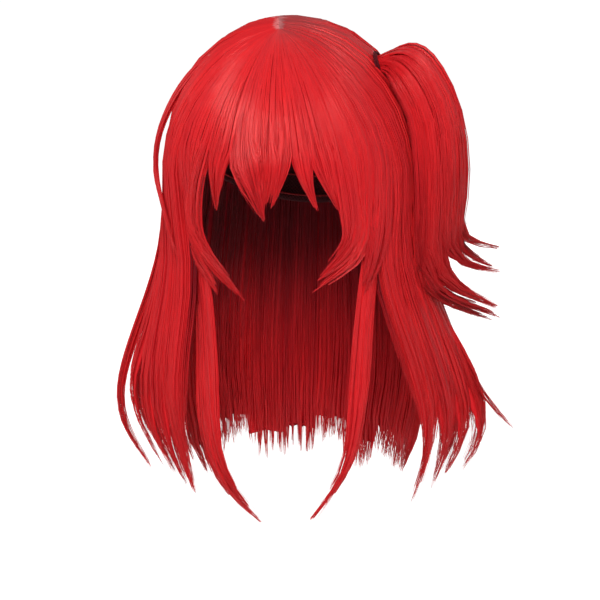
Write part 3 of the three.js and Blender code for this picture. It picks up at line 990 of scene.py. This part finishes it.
def strand_tree():
    """Spreads strands over the section of each guide and makes each one a thin closed tube."""
    tree, given = new_tree("wig_strands", "GeometryNodeTree", STRAND_INPUTS, (("Geometry", "Geometry"),))

    def attribute(name, kind="FLOAT"):
        return add(tree, "GeometryNodeInputNamedAttribute", {"Name": name}, data_type=kind).outputs[0]

    def per_strand(value):
        return add(tree, "GeometryNodeFieldOnDomain", {0: value}, domain="CURVE",
                   data_type="FLOAT").outputs[0]

    index = tree.nodes.new("GeometryNodeInputIndex").outputs[0]

    def chance(number, low=0.0, high=1.0):
        seed = math_node(tree, "ADD", given["Seed"], float(number))
        return per_strand(add(tree, "FunctionNodeRandomValue", {2: low, 3: high, "ID": index, "Seed": seed},
                              data_type="FLOAT").outputs[1])

    guides = add(tree, "GeometryNodeMeshToCurve", {0: given["Geometry"]}).outputs[0]
    strands = add(tree, "GeometryNodeDuplicateElements",
                  {"Geometry": guides, "Amount": attribute("strands", "INT")}, domain="SPLINE").outputs[0]

    # Where in the clump's section a strand lies: share sideways, and depth from the outer face inwards.
    along = tree.nodes.new("GeometryNodeSplineParameter").outputs["Factor"]
    sideways = chance(1, -1.0, 1.0)
    pick = chance(2)
    inner = ramp(tree, pick, *INNER_SHARES, 0.0, INNER_DEPTH)
    inward = math_node(tree, "MULTIPLY_ADD", pick, OUTER_DEPTH, inner)
    inward = mix_value(tree, attribute("edge"), inward, pick)
    flat = math_node(tree, "SUBTRACT", 1.0, math_node(tree, "MULTIPLY", sideways, sideways))
    round_height = math_node(tree, "MULTIPLY", attribute("half"), CLUMP_ROUND)
    outer_rise = math_node(tree, "MULTIPLY", round_height, flat)
    inner_rise = math_node(tree, "MULTIPLY", attribute("deep"), -1.0)
    rise = mix_value(tree, inward, outer_rise, inner_rise)
    across = scaled(tree, attribute("side", "FLOAT_VECTOR"),
                    math_node(tree, "MULTIPLY", attribute("half"), sideways))
    outwards = scaled(tree, attribute("out", "FLOAT_VECTOR"), rise)

    # A slow waver of its own for each strand, wider for the few that stray.
    waver_place = add(tree, "ShaderNodeCombineXYZ", {
        "X": chance(3, 0.0, WAVER_PLACES), "Y": math_node(tree, "MULTIPLY", along, WAVER_TURNS)}).outputs[0]
    waver = add(tree, "ShaderNodeTexNoise", {"Vector": waver_place, "Scale": 1.0, "Detail": 0.0},
                noise_dimensions="2D").outputs["Color"]
    rare = math_node(tree, "POWER", chance(4), STRAY_RARITY)
    stray = math_node(tree, "MULTIPLY_ADD", rare, STRAY_REACH, 1.0)
    reach = math_node(tree, "MULTIPLY", math_node(tree, "MULTIPLY", given["Waviness"], stray), along)
    waver = scaled(tree, vector_math(tree, "SUBTRACT", waver, (0.5, 0.5, 0.5)),
                   math_node(tree, "MULTIPLY", reach, 2.0))
    offset = vector_math(tree, "ADD", vector_math(tree, "ADD", across, outwards), waver)
    strands = add(tree, "GeometryNodeSetPosition", {"Geometry": strands, "Offset": offset}).outputs[0]

    # Uneven lengths, most of them nearly full.
    cut = math_node(tree, "POWER", chance(5), SHORT_RARITY)
    lost = math_node(tree, "MULTIPLY", cut, math_node(tree, "SUBTRACT", 1.0, given["Shortest"]))
    ends = {"Curve": strands, 2: chance(6, 0.0, ROOT_LOSS), 3: math_node(tree, "SUBTRACT", 1.0, lost)}
    strands = add(tree, "GeometryNodeTrimCurve", ends, mode="FACTOR").outputs[0]

    def keep(geometry, name, value, kind="FLOAT", domain="POINT"):
        sockets = {"Geometry": geometry, "Name": name, "Value": value}
        return add(tree, "GeometryNodeStoreNamedAttribute", sockets, data_type=kind,
                   domain=domain).outputs[0]

    # The column of the map that a strand takes, by its lock, its place across it and its depth in it: deep
    # strands of a lock with painted shade take the painted-shade columns.
    mixed = mix_value(tree, COLUMN_BY_PLACE, chance(7), attribute("near"))
    outer_column = math_node(tree, "MULTIPLY", mixed, OUTER_COLUMNS - COLUMN_MARGIN)
    outer_column = math_node(tree, "FLOOR", outer_column)
    painted_shade_columns = LOCK_COLUMNS - OUTER_COLUMNS - COLUMN_MARGIN
    painted_shade_column = math_node(tree, "MULTIPLY_ADD", mixed, painted_shade_columns, float(OUTER_COLUMNS))
    painted_shade_column = math_node(tree, "FLOOR", painted_shade_column)
    # Deep strands of a lock that takes painted shade get the painted-shade columns.
    deep = math_node(tree, "GREATER_THAN", inward, PAINTED_SHADE_DEPTH)
    inside = math_node(tree, "MULTIPLY", deep, attribute("inner_shade_painted"))
    column = mix_value(tree, inside, outer_column, painted_shade_column)
    column = math_node(tree, "MULTIPLY_ADD", attribute("lock"), float(LOCK_COLUMNS), column)
    strands = keep(strands, "column", column)
    strands = keep(strands, "along", along)
    thin = ramp(tree, along, given["Thin From"], 1.0, 1.0, TIP_THICKNESS)
    thickness = math_node(tree, "MULTIPLY", thin, chance(8, *THICKNESS_RANGE))
    width = math_node(tree, "MULTIPLY", thickness, given["Strand Radius"])
    ring = add(tree, "GeometryNodeCurvePrimitiveCircle", {"Resolution": 3, "Radius": 1.0}).outputs[0]
    ring = keep(ring, "round", along)
    tubes = add(tree, "GeometryNodeCurveToMesh",
                {"Curve": strands, "Profile Curve": ring, "Scale": width, "Fill Caps": True}).outputs[0]

    turn = math_node(tree, "MULTIPLY_ADD", attribute("round"), *COLUMN_ROUND)
    column = math_node(tree, "ADD", attribute("column"), turn)
    place = add(tree, "ShaderNodeCombineXYZ", {
        "X": math_node(tree, "DIVIDE", column, float(MAP_COLUMNS)), "Y": attribute("along")}).outputs[0]
    tubes = keep(tubes, UV_NAME, place, "FLOAT2", "CORNER")
    for name in (*GUIDE_VALUES, "column", "along", "round"):
        tubes = add(tree, "GeometryNodeRemoveAttribute", {"Geometry": tubes, "Name": name}).outputs[0]
    finish_tubes(tree, tubes, given["Material"])
    return tree


def set_inputs(modifier, values):
    for socket in modifier.node_group.interface.items_tree:
        if socket.in_out == "INPUT" and socket.name in values:
            modifier[socket.identifier] = values[socket.name]


def make_strands(name, sheets, strands, points, closed, material, changes):
    """Strands over all locks, by the settings and by what changes them for this group."""
    hair = bpy.context.scene.wig_hair
    piece = make_guides(name, sheets, strands, points, closed)
    modifier = piece.modifiers.new("strands", "NODES")
    modifier.node_group = bpy.data.node_groups.get("wig_strands") or strand_tree()
    set_inputs(modifier, {
        "Strand Radius": hair.strand_radius, "Waviness": hair.waviness, "Shortest": hair.shortest,
        "Thin From": THIN_FROM, "Seed": hair.seed, "Material": material, **changes})
    baked(piece)
    return piece


def make_hair(node, sheets, closed=False, low=0):
    """The bodies and the strands of one group of hair, which stand for its node.

    A sheet is a row of locks that lie side by side as one and part towards their tips. A closed one goes
    all round. low is how much painted shade darkens the hair towards its tips.
    """
    kind = "tail" if low else "hair"
    body = make_bodies(node + "_locks", sheets, closed, hair_material(kind + "_lock", low, **LOCK_FINISH))
    finish = hair_material(kind + "_strand", low, **STRAND_FINISH)
    changes = STRAND_CHANGES.get(node, {})
    fine = make_strands(node + "_strands", sheets, *STRANDS[node], closed, finish, changes)
    for piece in (body, fine):
        finish_piece(piece, "hair", node)


# Materials
def tint_group():
    """Colour and tone of hair by the columns of its own map: a tone for each strand and each lock, and
    painted shade.
    """
    found = bpy.data.node_groups.get("strand_tint")
    if found:
        return found
    inputs = [(name, "Float") for name in ("Fineness", "Tip Shade")]
    inputs += [(name, "Color") for name in ("Light", "Dark", "Painted Shade", "Root")]
    outputs = (("Color", "Color"), ("Tone", "Float"))
    tree, given = new_tree("strand_tint", "ShaderNodeTree", inputs, outputs)

    def part(count):
        return math_node(tree, "FLOOR", math_node(tree, "MULTIPLY", split["X"], count))

    def random_tone(number):
        return add(tree, "ShaderNodeTexWhiteNoise", {"W": number}, noise_dimensions="1D").outputs["Value"]

    place = add(tree, "ShaderNodeUVMap", uv_map=UV_NAME).outputs[0]
    split = add(tree, "ShaderNodeSeparateXYZ", {0: place}).outputs
    column = part(math_node(tree, "MULTIPLY", given["Fineness"], float(MAP_COLUMNS)))
    streak_place = add(tree, "ShaderNodeCombineXYZ", {
        "X": math_node(tree, "MULTIPLY", column, STREAK_STEP),
        "Y": math_node(tree, "MULTIPLY", split["Y"], STREAK_TURNS)}).outputs[0]
    streak = noise(tree, streak_place, 1.0, 2.0, noise_dimensions="2D")
    tone = math_node(tree, "MULTIPLY", random_tone(part(float(MOST_LOCKS))), LOCK_TONE)
    tone = math_node(tree, "MULTIPLY_ADD", random_tone(column), STRAND_TONE, tone)
    tone = math_node(tree, "MULTIPLY_ADD", streak, STREAK_TONE, tone)
    tone = ramp(tree, tone, *TONE_RANGE, kind="LINEAR")
    colour = mix_colour(tree, tone, given["Dark"], given["Light"])

    # Pale roots, then painted shade on the inner faces' columns, then painted shade that darkens the tips.
    pale = ramp(tree, split["Y"], *PALE_ROOT, PALE_MOST, 0.0)
    colour = mix_colour(tree, pale, colour, given["Root"])
    within = math_node(tree, "MODULO", part(float(MAP_COLUMNS)), float(LOCK_COLUMNS))
    inside = math_node(tree, "GREATER_THAN", within, OUTER_COLUMNS - 0.5)
    inside = math_node(tree, "MULTIPLY", inside, ramp(tree, split["Y"], *INNER_SHADE_FADE, 1.0, INNER_SHADE_LEFT))
    shade = mix_colour(tree, tone, given["Painted Shade"], given["Dark"])
    shade = mix_colour(tree, INNER_SHADE_TONE, given["Painted Shade"], shade)
    colour = mix_colour(tree, inside, colour, shade)
    tip_shade_share = math_node(tree, "MULTIPLY", given["Tip Shade"], ramp(tree, split["Y"], *TIP_SHADE_RANGE))
    colour = mix_colour(tree, tip_shade_share, colour, (0.0, 0.0, 0.0, 1.0))
    add(tree, "NodeGroupOutput", {"Color": colour, "Tone": tone})
    return tree


def new_material(name):
    material = bpy.data.materials.new(name)
    material.use_nodes = True
    return material, material.node_tree, material.node_tree.nodes["Principled BSDF"]


def add_bump(tree, shader, height, strength, distance):
    bump = add(tree, "ShaderNodeBump", {"Height": height, "Strength": strength, "Distance": distance})
    tree.links.new(bump.outputs[0], shader.inputs["Normal"])


def hair_material(name, low, fineness, roughness, shine, relief):
    """Glossy hair. The finish of a name that is there already is used again."""
    found = bpy.data.materials.get(name)
    if found:
        return found
    hair = bpy.context.scene.wig_hair
    material, tree, shader = new_material(name)
    tint = add(tree, "ShaderNodeGroup", node_tree=tint_group())
    # The inner red is painted shade on the inner faces, and low is painted shade that darkens the tips.
    values = {
        "Fineness": fineness, "Tip Shade": low, "Light": rgba(hair.light_red), "Dark": rgba(hair.dark_red),
        "Painted Shade": rgba(hair.painted_shade_red), "Root": rgba(bpy.context.scene.wig_cap.skin_colour)}
    for key, value in values.items():
        tint.inputs[key].default_value = value
    tree.links.new(tint.outputs["Color"], shader.inputs["Base Color"])
    ends = [roughness + change for change in ROUGHNESS_CHANGE]
    rough = ramp(tree, tint.outputs["Tone"], 0.0, 1.0, *ends, kind="LINEAR")
    tree.links.new(rough, shader.inputs["Roughness"])
    if relief:
        add_bump(tree, shader, tint.outputs["Tone"], RELIEF_STRENGTH, relief)
    shader.inputs["Specular IOR Level"].default_value = shine
    shader.inputs["Specular Tint"].default_value = SHINE_TINT
    return material


def net_material():
    """Dark stretch net: crossing threads with small gaps between them."""
    cap = bpy.context.scene.wig_cap
    material, tree, shader = new_material("cap_net")
    place = add(tree, "ShaderNodeUVMap", uv_map=UV_NAME).outputs[0]
    waves = []
    for turn in NET_SLANTS:
        sockets = {"Vector": place, "Rotation": (0, 0, math.radians(turn))}
        turned = add(tree, "ShaderNodeMapping", sockets).outputs[0]
        sockets = {"Vector": turned, "Scale": 60.0, "Distortion": 0.6, "Detail": 1.0}
        waves.append(add(tree, "ShaderNodeTexWave", sockets, wave_profile="SIN").outputs["Fac"])
    thread = math_node(tree, "MAXIMUM", *waves)
    patch = math_node(tree, "MULTIPLY", noise(tree, place, 24.0, 3.0), NET_PATCH)
    tone = math_node(tree, "MULTIPLY_ADD", thread, NET_THREAD, patch)
    colour = mix_colour(tree, tone, toned(cap.net_colour, NET_DARK), toned(cap.net_colour, NET_LIGHT))
    tree.links.new(colour, shader.inputs["Base Color"])
    tree.links.new(ramp(tree, tone, 0.0, 1.0, *NET_ROUGHNESS), shader.inputs["Roughness"])
    add_bump(tree, shader, thread, strength=0.6, distance=0.0006)
    return material


def weft_material():
    """Sewn rows of hair, with the fine uneven grain of stitches."""
    hair = bpy.context.scene.wig_hair
    material, tree, shader = new_material("cap_sewn_row")
    place = add(tree, "ShaderNodeTexCoord").outputs["Object"]
    stitch = noise(tree, place, 900.0, 2.0)
    colour = mix_colour(tree, stitch, toned(hair.dark_red, ROW_DARK), rgba(hair.dark_red))
    tree.links.new(colour, shader.inputs["Base Color"])
    shader.inputs["Roughness"].default_value = 0.6
    add_bump(tree, shader, stitch, strength=0.7, distance=0.0004)
    return material


def skin_material():
    """Matt pale patch with the small knots of the hair tied through it."""
    cap = bpy.context.scene.wig_cap
    hair = bpy.context.scene.wig_hair
    material, tree, shader = new_material("parting_patch")
    place = add(tree, "ShaderNodeTexCoord").outputs["Object"]
    cell = add(tree, "ShaderNodeTexVoronoi", {"Vector": place, "Scale": 620.0}).outputs["Distance"]
    knot = ramp(tree, cell, *KNOT_RANGE, KNOT_MOST, 0.0)
    patch = noise(tree, place, 160.0, 3.0)
    skin = mix_colour(tree, patch, toned(cap.skin_colour, SKIN_WARM), rgba(cap.skin_colour))
    tree.links.new(mix_colour(tree, knot, skin, rgba(hair.dark_red)), shader.inputs["Base Color"])
    shader.inputs["Roughness"].default_value = 0.72
    add_bump(tree, shader, cell, strength=0.4, distance=0.0004)
    return material


def tie_material():
    """Braided cover of the elastic: slanting ribs round the cord."""
    cap = bpy.context.scene.wig_cap
    material, tree, shader = new_material("tie_elastic")
    place = add(tree, "ShaderNodeUVMap", uv_map=UV_NAME).outputs[0]
    sockets = {"Vector": place, "Scale": 16.0, "Distortion": 0.4}
    rib = add(tree, "ShaderNodeTexWave", sockets, wave_profile="SIN",
              bands_direction="DIAGONAL").outputs["Fac"]
    colour = mix_colour(tree, rib, rgba(cap.tie_colour), toned(cap.tie_colour, TIE_LIGHT))
    tree.links.new(colour, shader.inputs["Base Color"])
    tree.links.new(ramp(tree, rib, 0.0, 1.0, *TIE_ROUGHNESS), shader.inputs["Roughness"])
    shader.inputs["Specular IOR Level"].default_value = 0.2
    add_bump(tree, shader, rib, strength=0.6, distance=0.0003)
    return material


def floor_material():
    """Pale floor that shines a little of itself where the camera sees it."""
    material, tree, shader = new_material("pale_floor")
    place = add(tree, "ShaderNodeTexCoord").outputs["Object"]
    grain = noise(tree, place, 3.0, 3.0)
    colour = mix_colour(tree, grain, *(rgba([grey] * 3) for grey in FLOOR_GREYS))
    tree.links.new(colour, shader.inputs["Base Color"])
    shader.inputs["Roughness"].default_value = 0.9
    shader.inputs["Specular IOR Level"].default_value = 0.1
    shader.inputs["Emission Color"].default_value = (1, 1, 1, 1)
    seen = add(tree, "ShaderNodeLightPath").outputs["Is Camera Ray"]
    glow = math_node(tree, "MULTIPLY", seen, bpy.context.scene.wig_stage.floor_glow)
    tree.links.new(glow, shader.inputs["Emission Strength"])
    return material


# The cap, the parting patch and the tie

# Points and rows of each, the drop of the cap's hem and the part of the map that its crown takes. The sewn
# rows are spaced evenly from the crown, with the place of the first, and what is added to their number to
# reach the rim.
CAP_AROUND = 96
CAP_ROWS = 34
CAP_HEM = 0.0006
CAP_TOP_MAP = 0.01
WEFT_POINTS = 90
WEFT_FIRST = 1.5
WEFT_SPARE = 0.8
SKIN_AROUND = 56
SKIN_RINGS = 12
TIE_AROUND = 72
TIE_SIDES = 12


def rim_angle(bearing, half):
    """Angle from the crown at which the cap's rim cuts an ellipsoid of those half-sizes."""
    slope = (CAP_RIM_NAPE - CAP_RIM_FRONT) / (CAP_NAPE_DEPTH + HEAD[1])
    level = CAP_RIM_FRONT + HEAD[1] * slope + HEAD[2]
    tilt = slope * half[1] * math.cos(bearing)
    reach = math.hypot(half[2], tilt)
    return math.atan2(tilt, half[2]) + math.acos(level / reach)


def cap_point(bearing, angle, half):
    level = math.sin(angle)
    return np.array((half[0] * level * math.sin(bearing), -half[1] * level * math.cos(bearing),
                     half[2] * math.cos(angle) - HEAD[2]))


def make_cap():
    """A shell from the crown to the rim, with a rounded hem."""
    points = []
    rows = []
    walls = [(HEAD + CAP_WALL, range(1, CAP_ROWS + 1)), (HEAD, range(CAP_ROWS, 0, -1))]
    bearings = [2 * math.pi * step / CAP_AROUND for step in range(CAP_AROUND)]
    for half, order in walls:
        for row in order:
            rows.append(len(points))
            points.extend(cap_point(bearing, rim_angle(bearing, half) * row / CAP_ROWS, half)
                          for bearing in bearings)
        if half is walls[0][0]:
            rows.append(len(points))
            middle = HEAD + CAP_WALL / 2
            points.extend(cap_point(bearing, rim_angle(bearing, middle), middle) - (0, 0, CAP_HEM)
                          for bearing in bearings)
    outer_top = len(points)
    points.append(cap_point(0, 0, HEAD + CAP_WALL))
    points.append(cap_point(0, 0, HEAD))
    faces = []
    corner_uv = []
    last = len(rows) - 1
    for step in range(CAP_AROUND):
        after = (step + 1) % CAP_AROUND
        left = step / CAP_AROUND
        right = (step + 1) / CAP_AROUND
        for row in range(last):
            low = row / last
            high = (row + 1) / last
            faces.append((rows[row] + step, rows[row + 1] + step, rows[row + 1] + after, rows[row] + after))
            corner_uv.extend(((left, low), (left, high), (right, high), (right, low)))
        faces.append((outer_top, rows[0] + step, rows[0] + after))
        corner_uv.extend(((left, 0), (left, CAP_TOP_MAP), (right, CAP_TOP_MAP)))
        faces.append((outer_top + 1, rows[last] + after, rows[last] + step))
        corner_uv.extend(((left, 1), (right, 1 - CAP_TOP_MAP), (left, 1 - CAP_TOP_MAP)))
    return finish_mesh(mesh_object("wig_cap_net", points, faces), net_material(), corner_uv)


def weft_tree():
    """Makes each closed row a thin tube."""
    inputs = (("Geometry", "Geometry"), ("Row Radius", "Float"), ("Material", "Material"))
    tree, given = new_tree("wig_sewn_rows", "GeometryNodeTree", inputs, inputs[:1])
    curve = add(tree, "GeometryNodeMeshToCurve", {0: given["Geometry"]}).outputs[0]
    sockets = {"Resolution": 6, "Radius": given["Row Radius"]}
    ring = add(tree, "GeometryNodeCurvePrimitiveCircle", sockets).outputs[0]
    tubes = add(tree, "GeometryNodeCurveToMesh", {"Curve": curve, "Profile Curve": ring}).outputs[0]
    finish_tubes(tree, tubes, given["Material"])
    return tree


def make_wefts():
    """Sewn rows round the inside of the cap."""
    cap = bpy.context.scene.wig_cap
    points = []
    edges = []
    for row in range(cap.weft_rows):
        share = (row + WEFT_FIRST) / (cap.weft_rows + WEFT_SPARE)
        first = len(points)
        for step in range(WEFT_POINTS):
            bearing = 2 * math.pi * step / WEFT_POINTS
            points.append(cap_point(bearing, rim_angle(bearing, HEAD) * share, HEAD - cap.weft_radius / 2))
            edges.append((first + step, first + (step + 1) % WEFT_POINTS))
    piece = mesh_object("wig_cap_sewn_rows", points, [], edges)
    modifier = piece.modifiers.new("rows", "NODES")
    modifier.node_group = weft_tree()
    set_inputs(modifier, {"Row Radius": cap.weft_radius, "Material": weft_material()})
    baked(piece)
    return piece


def make_skin_top():
    """A thin patch over the crown of the cap, domed like it."""
    middle = (PARTING_FRONT + PARTING_BACK) / 2
    points = []
    rows = []
    lifts = (CAP_WALL + SKIN_LIFT + SKIN_THICK, CAP_WALL + SKIN_LIFT)
    for lift, order in zip(lifts, (range(1, SKIN_RINGS + 1), range(SKIN_RINGS, 0, -1))):
        half = HEAD + lift
        for ring in order:
            rows.append(len(points))
            for step in range(SKIN_AROUND):
                turn = 2 * math.pi * step / SKIN_AROUND
                flat = middle + SKIN_HALF * (math.cos(turn), math.sin(turn)) * ring / SKIN_RINGS
                points.append(on_crown(flat, half))
    top = len(points)
    points.extend(on_crown(middle, HEAD + lift) for lift in lifts)
    faces = []
    for step in range(SKIN_AROUND):
        after = (step + 1) % SKIN_AROUND
        for row in range(len(rows) - 1):
            faces.append((rows[row] + step, rows[row + 1] + step, rows[row + 1] + after, rows[row] + after))
        faces.append((top, rows[0] + step, rows[0] + after))
        faces.append((top + 1, rows[-1] + after, rows[-1] + step))
    return finish_mesh(mesh_object("skin_top_patch", points, faces), skin_material())


def on_crown(flat, half):
    """The point over a place seen from above, on an ellipsoid of those half-sizes."""
    rise = math.sqrt(1 - (flat[0] / half[0]) ** 2 - (flat[1] / half[1]) ** 2)
    return np.array((*flat, half[2] * rise - HEAD[2]))


def make_tie():
    """Turns of a round elastic cord, side by side round the ponytail's root."""
    axis = unit(TIE_TOWARDS - TIE_AT)
    level = unit(np.cross(axis, (0, 0, 1)))
    upright = np.cross(level, axis)
    points = []
    faces = []
    corner_uv = []
    for turn in range(TIE_TURNS):
        shift = (turn - (TIE_TURNS - 1) / 2) * TIE_PITCH
        first = len(points)
        for step in range(TIE_AROUND):
            angle = 2 * math.pi * step / TIE_AROUND
            sway = TIE_SWAY * math.sin(2 * angle + TIE_SWAY_STEP * turn)
            outward = level * math.cos(angle) + upright * math.sin(angle)
            middle = TIE_AT + axis * (shift + sway) + outward * TIE_RADIUS
            for side in range(TIE_SIDES):
                slant = 2 * math.pi * side / TIE_SIDES
                points.append(middle + TIE_CORD * (outward * math.cos(slant) + axis * math.sin(slant)))
        for step in range(TIE_AROUND):
            here = first + step * TIE_SIDES
            there = first + (step + 1) % TIE_AROUND * TIE_SIDES
            for side in range(TIE_SIDES):
                after = (side + 1) % TIE_SIDES
                faces.append((here + side, there + side, there + after, here + after))
                low = (turn + side / TIE_SIDES) / TIE_TURNS
                high = (turn + (side + 1) / TIE_SIDES) / TIE_TURNS
                left = step / TIE_AROUND
                right = (step + 1) / TIE_AROUND
                corner_uv.extend(((left, low), (right, low), (right, high), (left, high)))
    return finish_mesh(mesh_object("ponytail_tie_elastic", points, faces), tie_material(), corner_uv)


# Operators
class WIG_OT_make_stage(bpy.types.Operator):
    """Makes the floor, the lights, the surround and the camera"""

    bl_idname = "wig.make_stage"
    bl_label = "Make stage"

    def execute(self, context):
        settings = context.scene.wig_stage
        context.scene.view_settings.view_transform = "Standard"
        half = settings.floor_half
        height = CAD_BOX[0].z - settings.floor_drop
        signs = ((-1, -1), (1, -1), (1, 1), (-1, 1))
        corners = [(half * across, half * along, height) for across, along in signs]
        floor = mesh_object("floor", corners, [(0, 1, 2, 3)])
        floor.data.materials.append(floor_material())

        world = bpy.data.worlds.new("studio")
        world.use_nodes = True
        world.node_tree.nodes["Background"].inputs["Strength"].default_value = settings.surround
        world.node_tree.nodes["Background"].inputs["Color"].default_value = (1, 1, 1, 1)
        context.scene.world = world
        for name, azimuth, elevation, distance, side, share in LIGHTS:
            data = bpy.data.lights.new(name, "AREA")
            data.shape = "SQUARE"
            data.size = side
            data.energy = settings.key_power * share
            light = bpy.data.objects.new(name, data)
            place_towards(light, math.radians(azimuth), math.radians(elevation), distance)
            context.scene.collection.objects.link(light)

        data = bpy.data.cameras.new("camera")
        data.lens = LENS
        camera = bpy.data.objects.new("camera", data)
        place_towards(camera, AZIMUTH, ELEVATION, DISTANCE)
        context.scene.collection.objects.link(camera)
        context.scene.camera = camera
        return {"FINISHED"}


def place_towards(item, azimuth, elevation, distance):
    """Puts a light or the camera round the middle of the wig, looking at it."""
    back = Vector((math.sin(azimuth) * math.cos(elevation), -math.cos(azimuth) * math.cos(elevation),
                   math.sin(elevation)))
    item.location = TARGET + back * distance
    item.rotation_euler = (-back).to_track_quat("-Z", "Y").to_euler()


class WIG_OT_make_cap(bpy.types.Operator):
    """Makes the net cap and its sewn rows"""

    bl_idname = "wig.make_cap"
    bl_label = "Make cap"

    def execute(self, context):
        for piece in (make_cap(), make_wefts()):
            finish_piece(piece, "cap_net", "wig_cap")
        return {"FINISHED"}


class WIG_OT_make_skin_top(bpy.types.Operator):
    """Makes the pale patch at the parting"""

    bl_idname = "wig.make_skin_top"
    bl_label = "Make parting patch"

    def execute(self, context):
        finish_piece(make_skin_top(), "skin_top", "skin_top")
        return {"FINISHED"}


class WIG_OT_make_fringe(bpy.types.Operator):
    """Makes the fringe and its cheek locks"""

    bl_idname = "wig.make_fringe"
    bl_label = "Make fringe"

    def execute(self, context):
        locks = [table_lock(row, FRINGE_STYLE) for row in FRINGE]
        for lock in locks:
            if lock["distances"][-1] > CHEEK_LENGTH:
                lock.update(CHEEK_STYLE)
        make_hair("fringe", [locks])
        return {"FINISHED"}


class WIG_OT_make_front_locks(bpy.types.Operator):
    """Makes the two long front locks"""

    bl_idname = "wig.make_front_locks"
    bl_label = "Make front locks"

    def execute(self, context):
        for node, row in (("front_lock_right", FRONT_RIGHT), ("front_lock_left", FRONT_LEFT)):
            make_hair(node, [[free_lock(row)]])
        return {"FINISHED"}


class WIG_OT_make_side_hair(bpy.types.Operator):
    """Makes the hair over the ears and the loose lock"""

    bl_idname = "wig.make_side_hair"
    bl_label = "Make side hair"

    def execute(self, context):
        loose = [free_lock(LOOSE_LOCK, LOOSE_STYLE)]
        make_hair("side_hair_right", side_sheets(SIDE_RIGHT) + [loose])
        make_hair("side_hair_left", side_sheets(SIDE_LEFT))
        return {"FINISHED"}


def side_sheets(rows):
    """The broad locks as one sheet in the order of their bearings, and each wisp as its own."""
    rows = sorted(rows)
    broad = [table_lock(row, SIDE_STYLE if row[2] > STRIP_WIDTH else STRIP_STYLE)
             for row in rows if row[2] > WISP_WIDTH]
    wisps = [table_lock(row, WISP_STYLE) for row in rows if row[2] <= WISP_WIDTH]
    return [broad] + [[wisp] for wisp in wisps]


class WIG_OT_make_back_hair(bpy.types.Operator):
    """Makes the hair behind"""

    bl_idname = "wig.make_back_hair"
    bl_label = "Make back hair"

    def execute(self, context):
        make_hair("back_hair", [back_locks()])
        return {"FINISHED"}


class WIG_OT_make_ponytail(bpy.types.Operator):
    """Makes the ponytail and its tie"""

    bl_idname = "wig.make_ponytail"
    bl_label = "Make ponytail"

    def execute(self, context):
        make_hair("ponytail", [tail_locks()], closed=True, low=TAIL_TIP_SHADE)
        finish_piece(make_tie(), "tie", "ponytail_tie")
        return {"FINISHED"}


class WIG_PT_pieces(bpy.types.Panel):
    """The pieces of the wig and their settings"""

    bl_idname = "WIG_PT_pieces"
    bl_label = "Wig"
    bl_space_type = "VIEW_3D"
    bl_region_type = "UI"
    bl_category = "Wig"

    def draw(self, context):
        for settings in (context.scene.wig_hair, context.scene.wig_cap, context.scene.wig_stage):
            box = self.layout.box()
            for name in settings.__annotations__:
                box.prop(settings, name)
        for operator in OPERATORS:
            self.layout.operator(operator.bl_idname)


OPERATORS = (
    WIG_OT_make_stage, WIG_OT_make_cap, WIG_OT_make_skin_top, WIG_OT_make_fringe, WIG_OT_make_front_locks,
    WIG_OT_make_side_hair, WIG_OT_make_back_hair, WIG_OT_make_ponytail,
)
SETTINGS = {"wig_hair": WigHairSettings, "wig_cap": WigCapSettings, "wig_stage": WigStageSettings}


def register():
    for name, kind in SETTINGS.items():
        bpy.utils.register_class(kind)
        setattr(bpy.types.Scene, name, PointerProperty(type=kind))
    for kind in (*OPERATORS, WIG_PT_pieces):
        bpy.utils.register_class(kind)


def unregister():
    for kind in reversed((*OPERATORS, WIG_PT_pieces)):
        bpy.utils.unregister_class(kind)
    for name, kind in SETTINGS.items():
        delattr(bpy.types.Scene, name)
        bpy.utils.unregister_class(kind)


def main():
    register()
    bpy.ops.wig.make_stage()
    bpy.ops.wig.make_cap()
    bpy.ops.wig.make_skin_top()
    bpy.ops.wig.make_fringe()
    bpy.ops.wig.make_front_locks()
    bpy.ops.wig.make_side_hair()
    bpy.ops.wig.make_back_hair()
    bpy.ops.wig.make_ponytail()


if __name__ == "__main__":
    main()
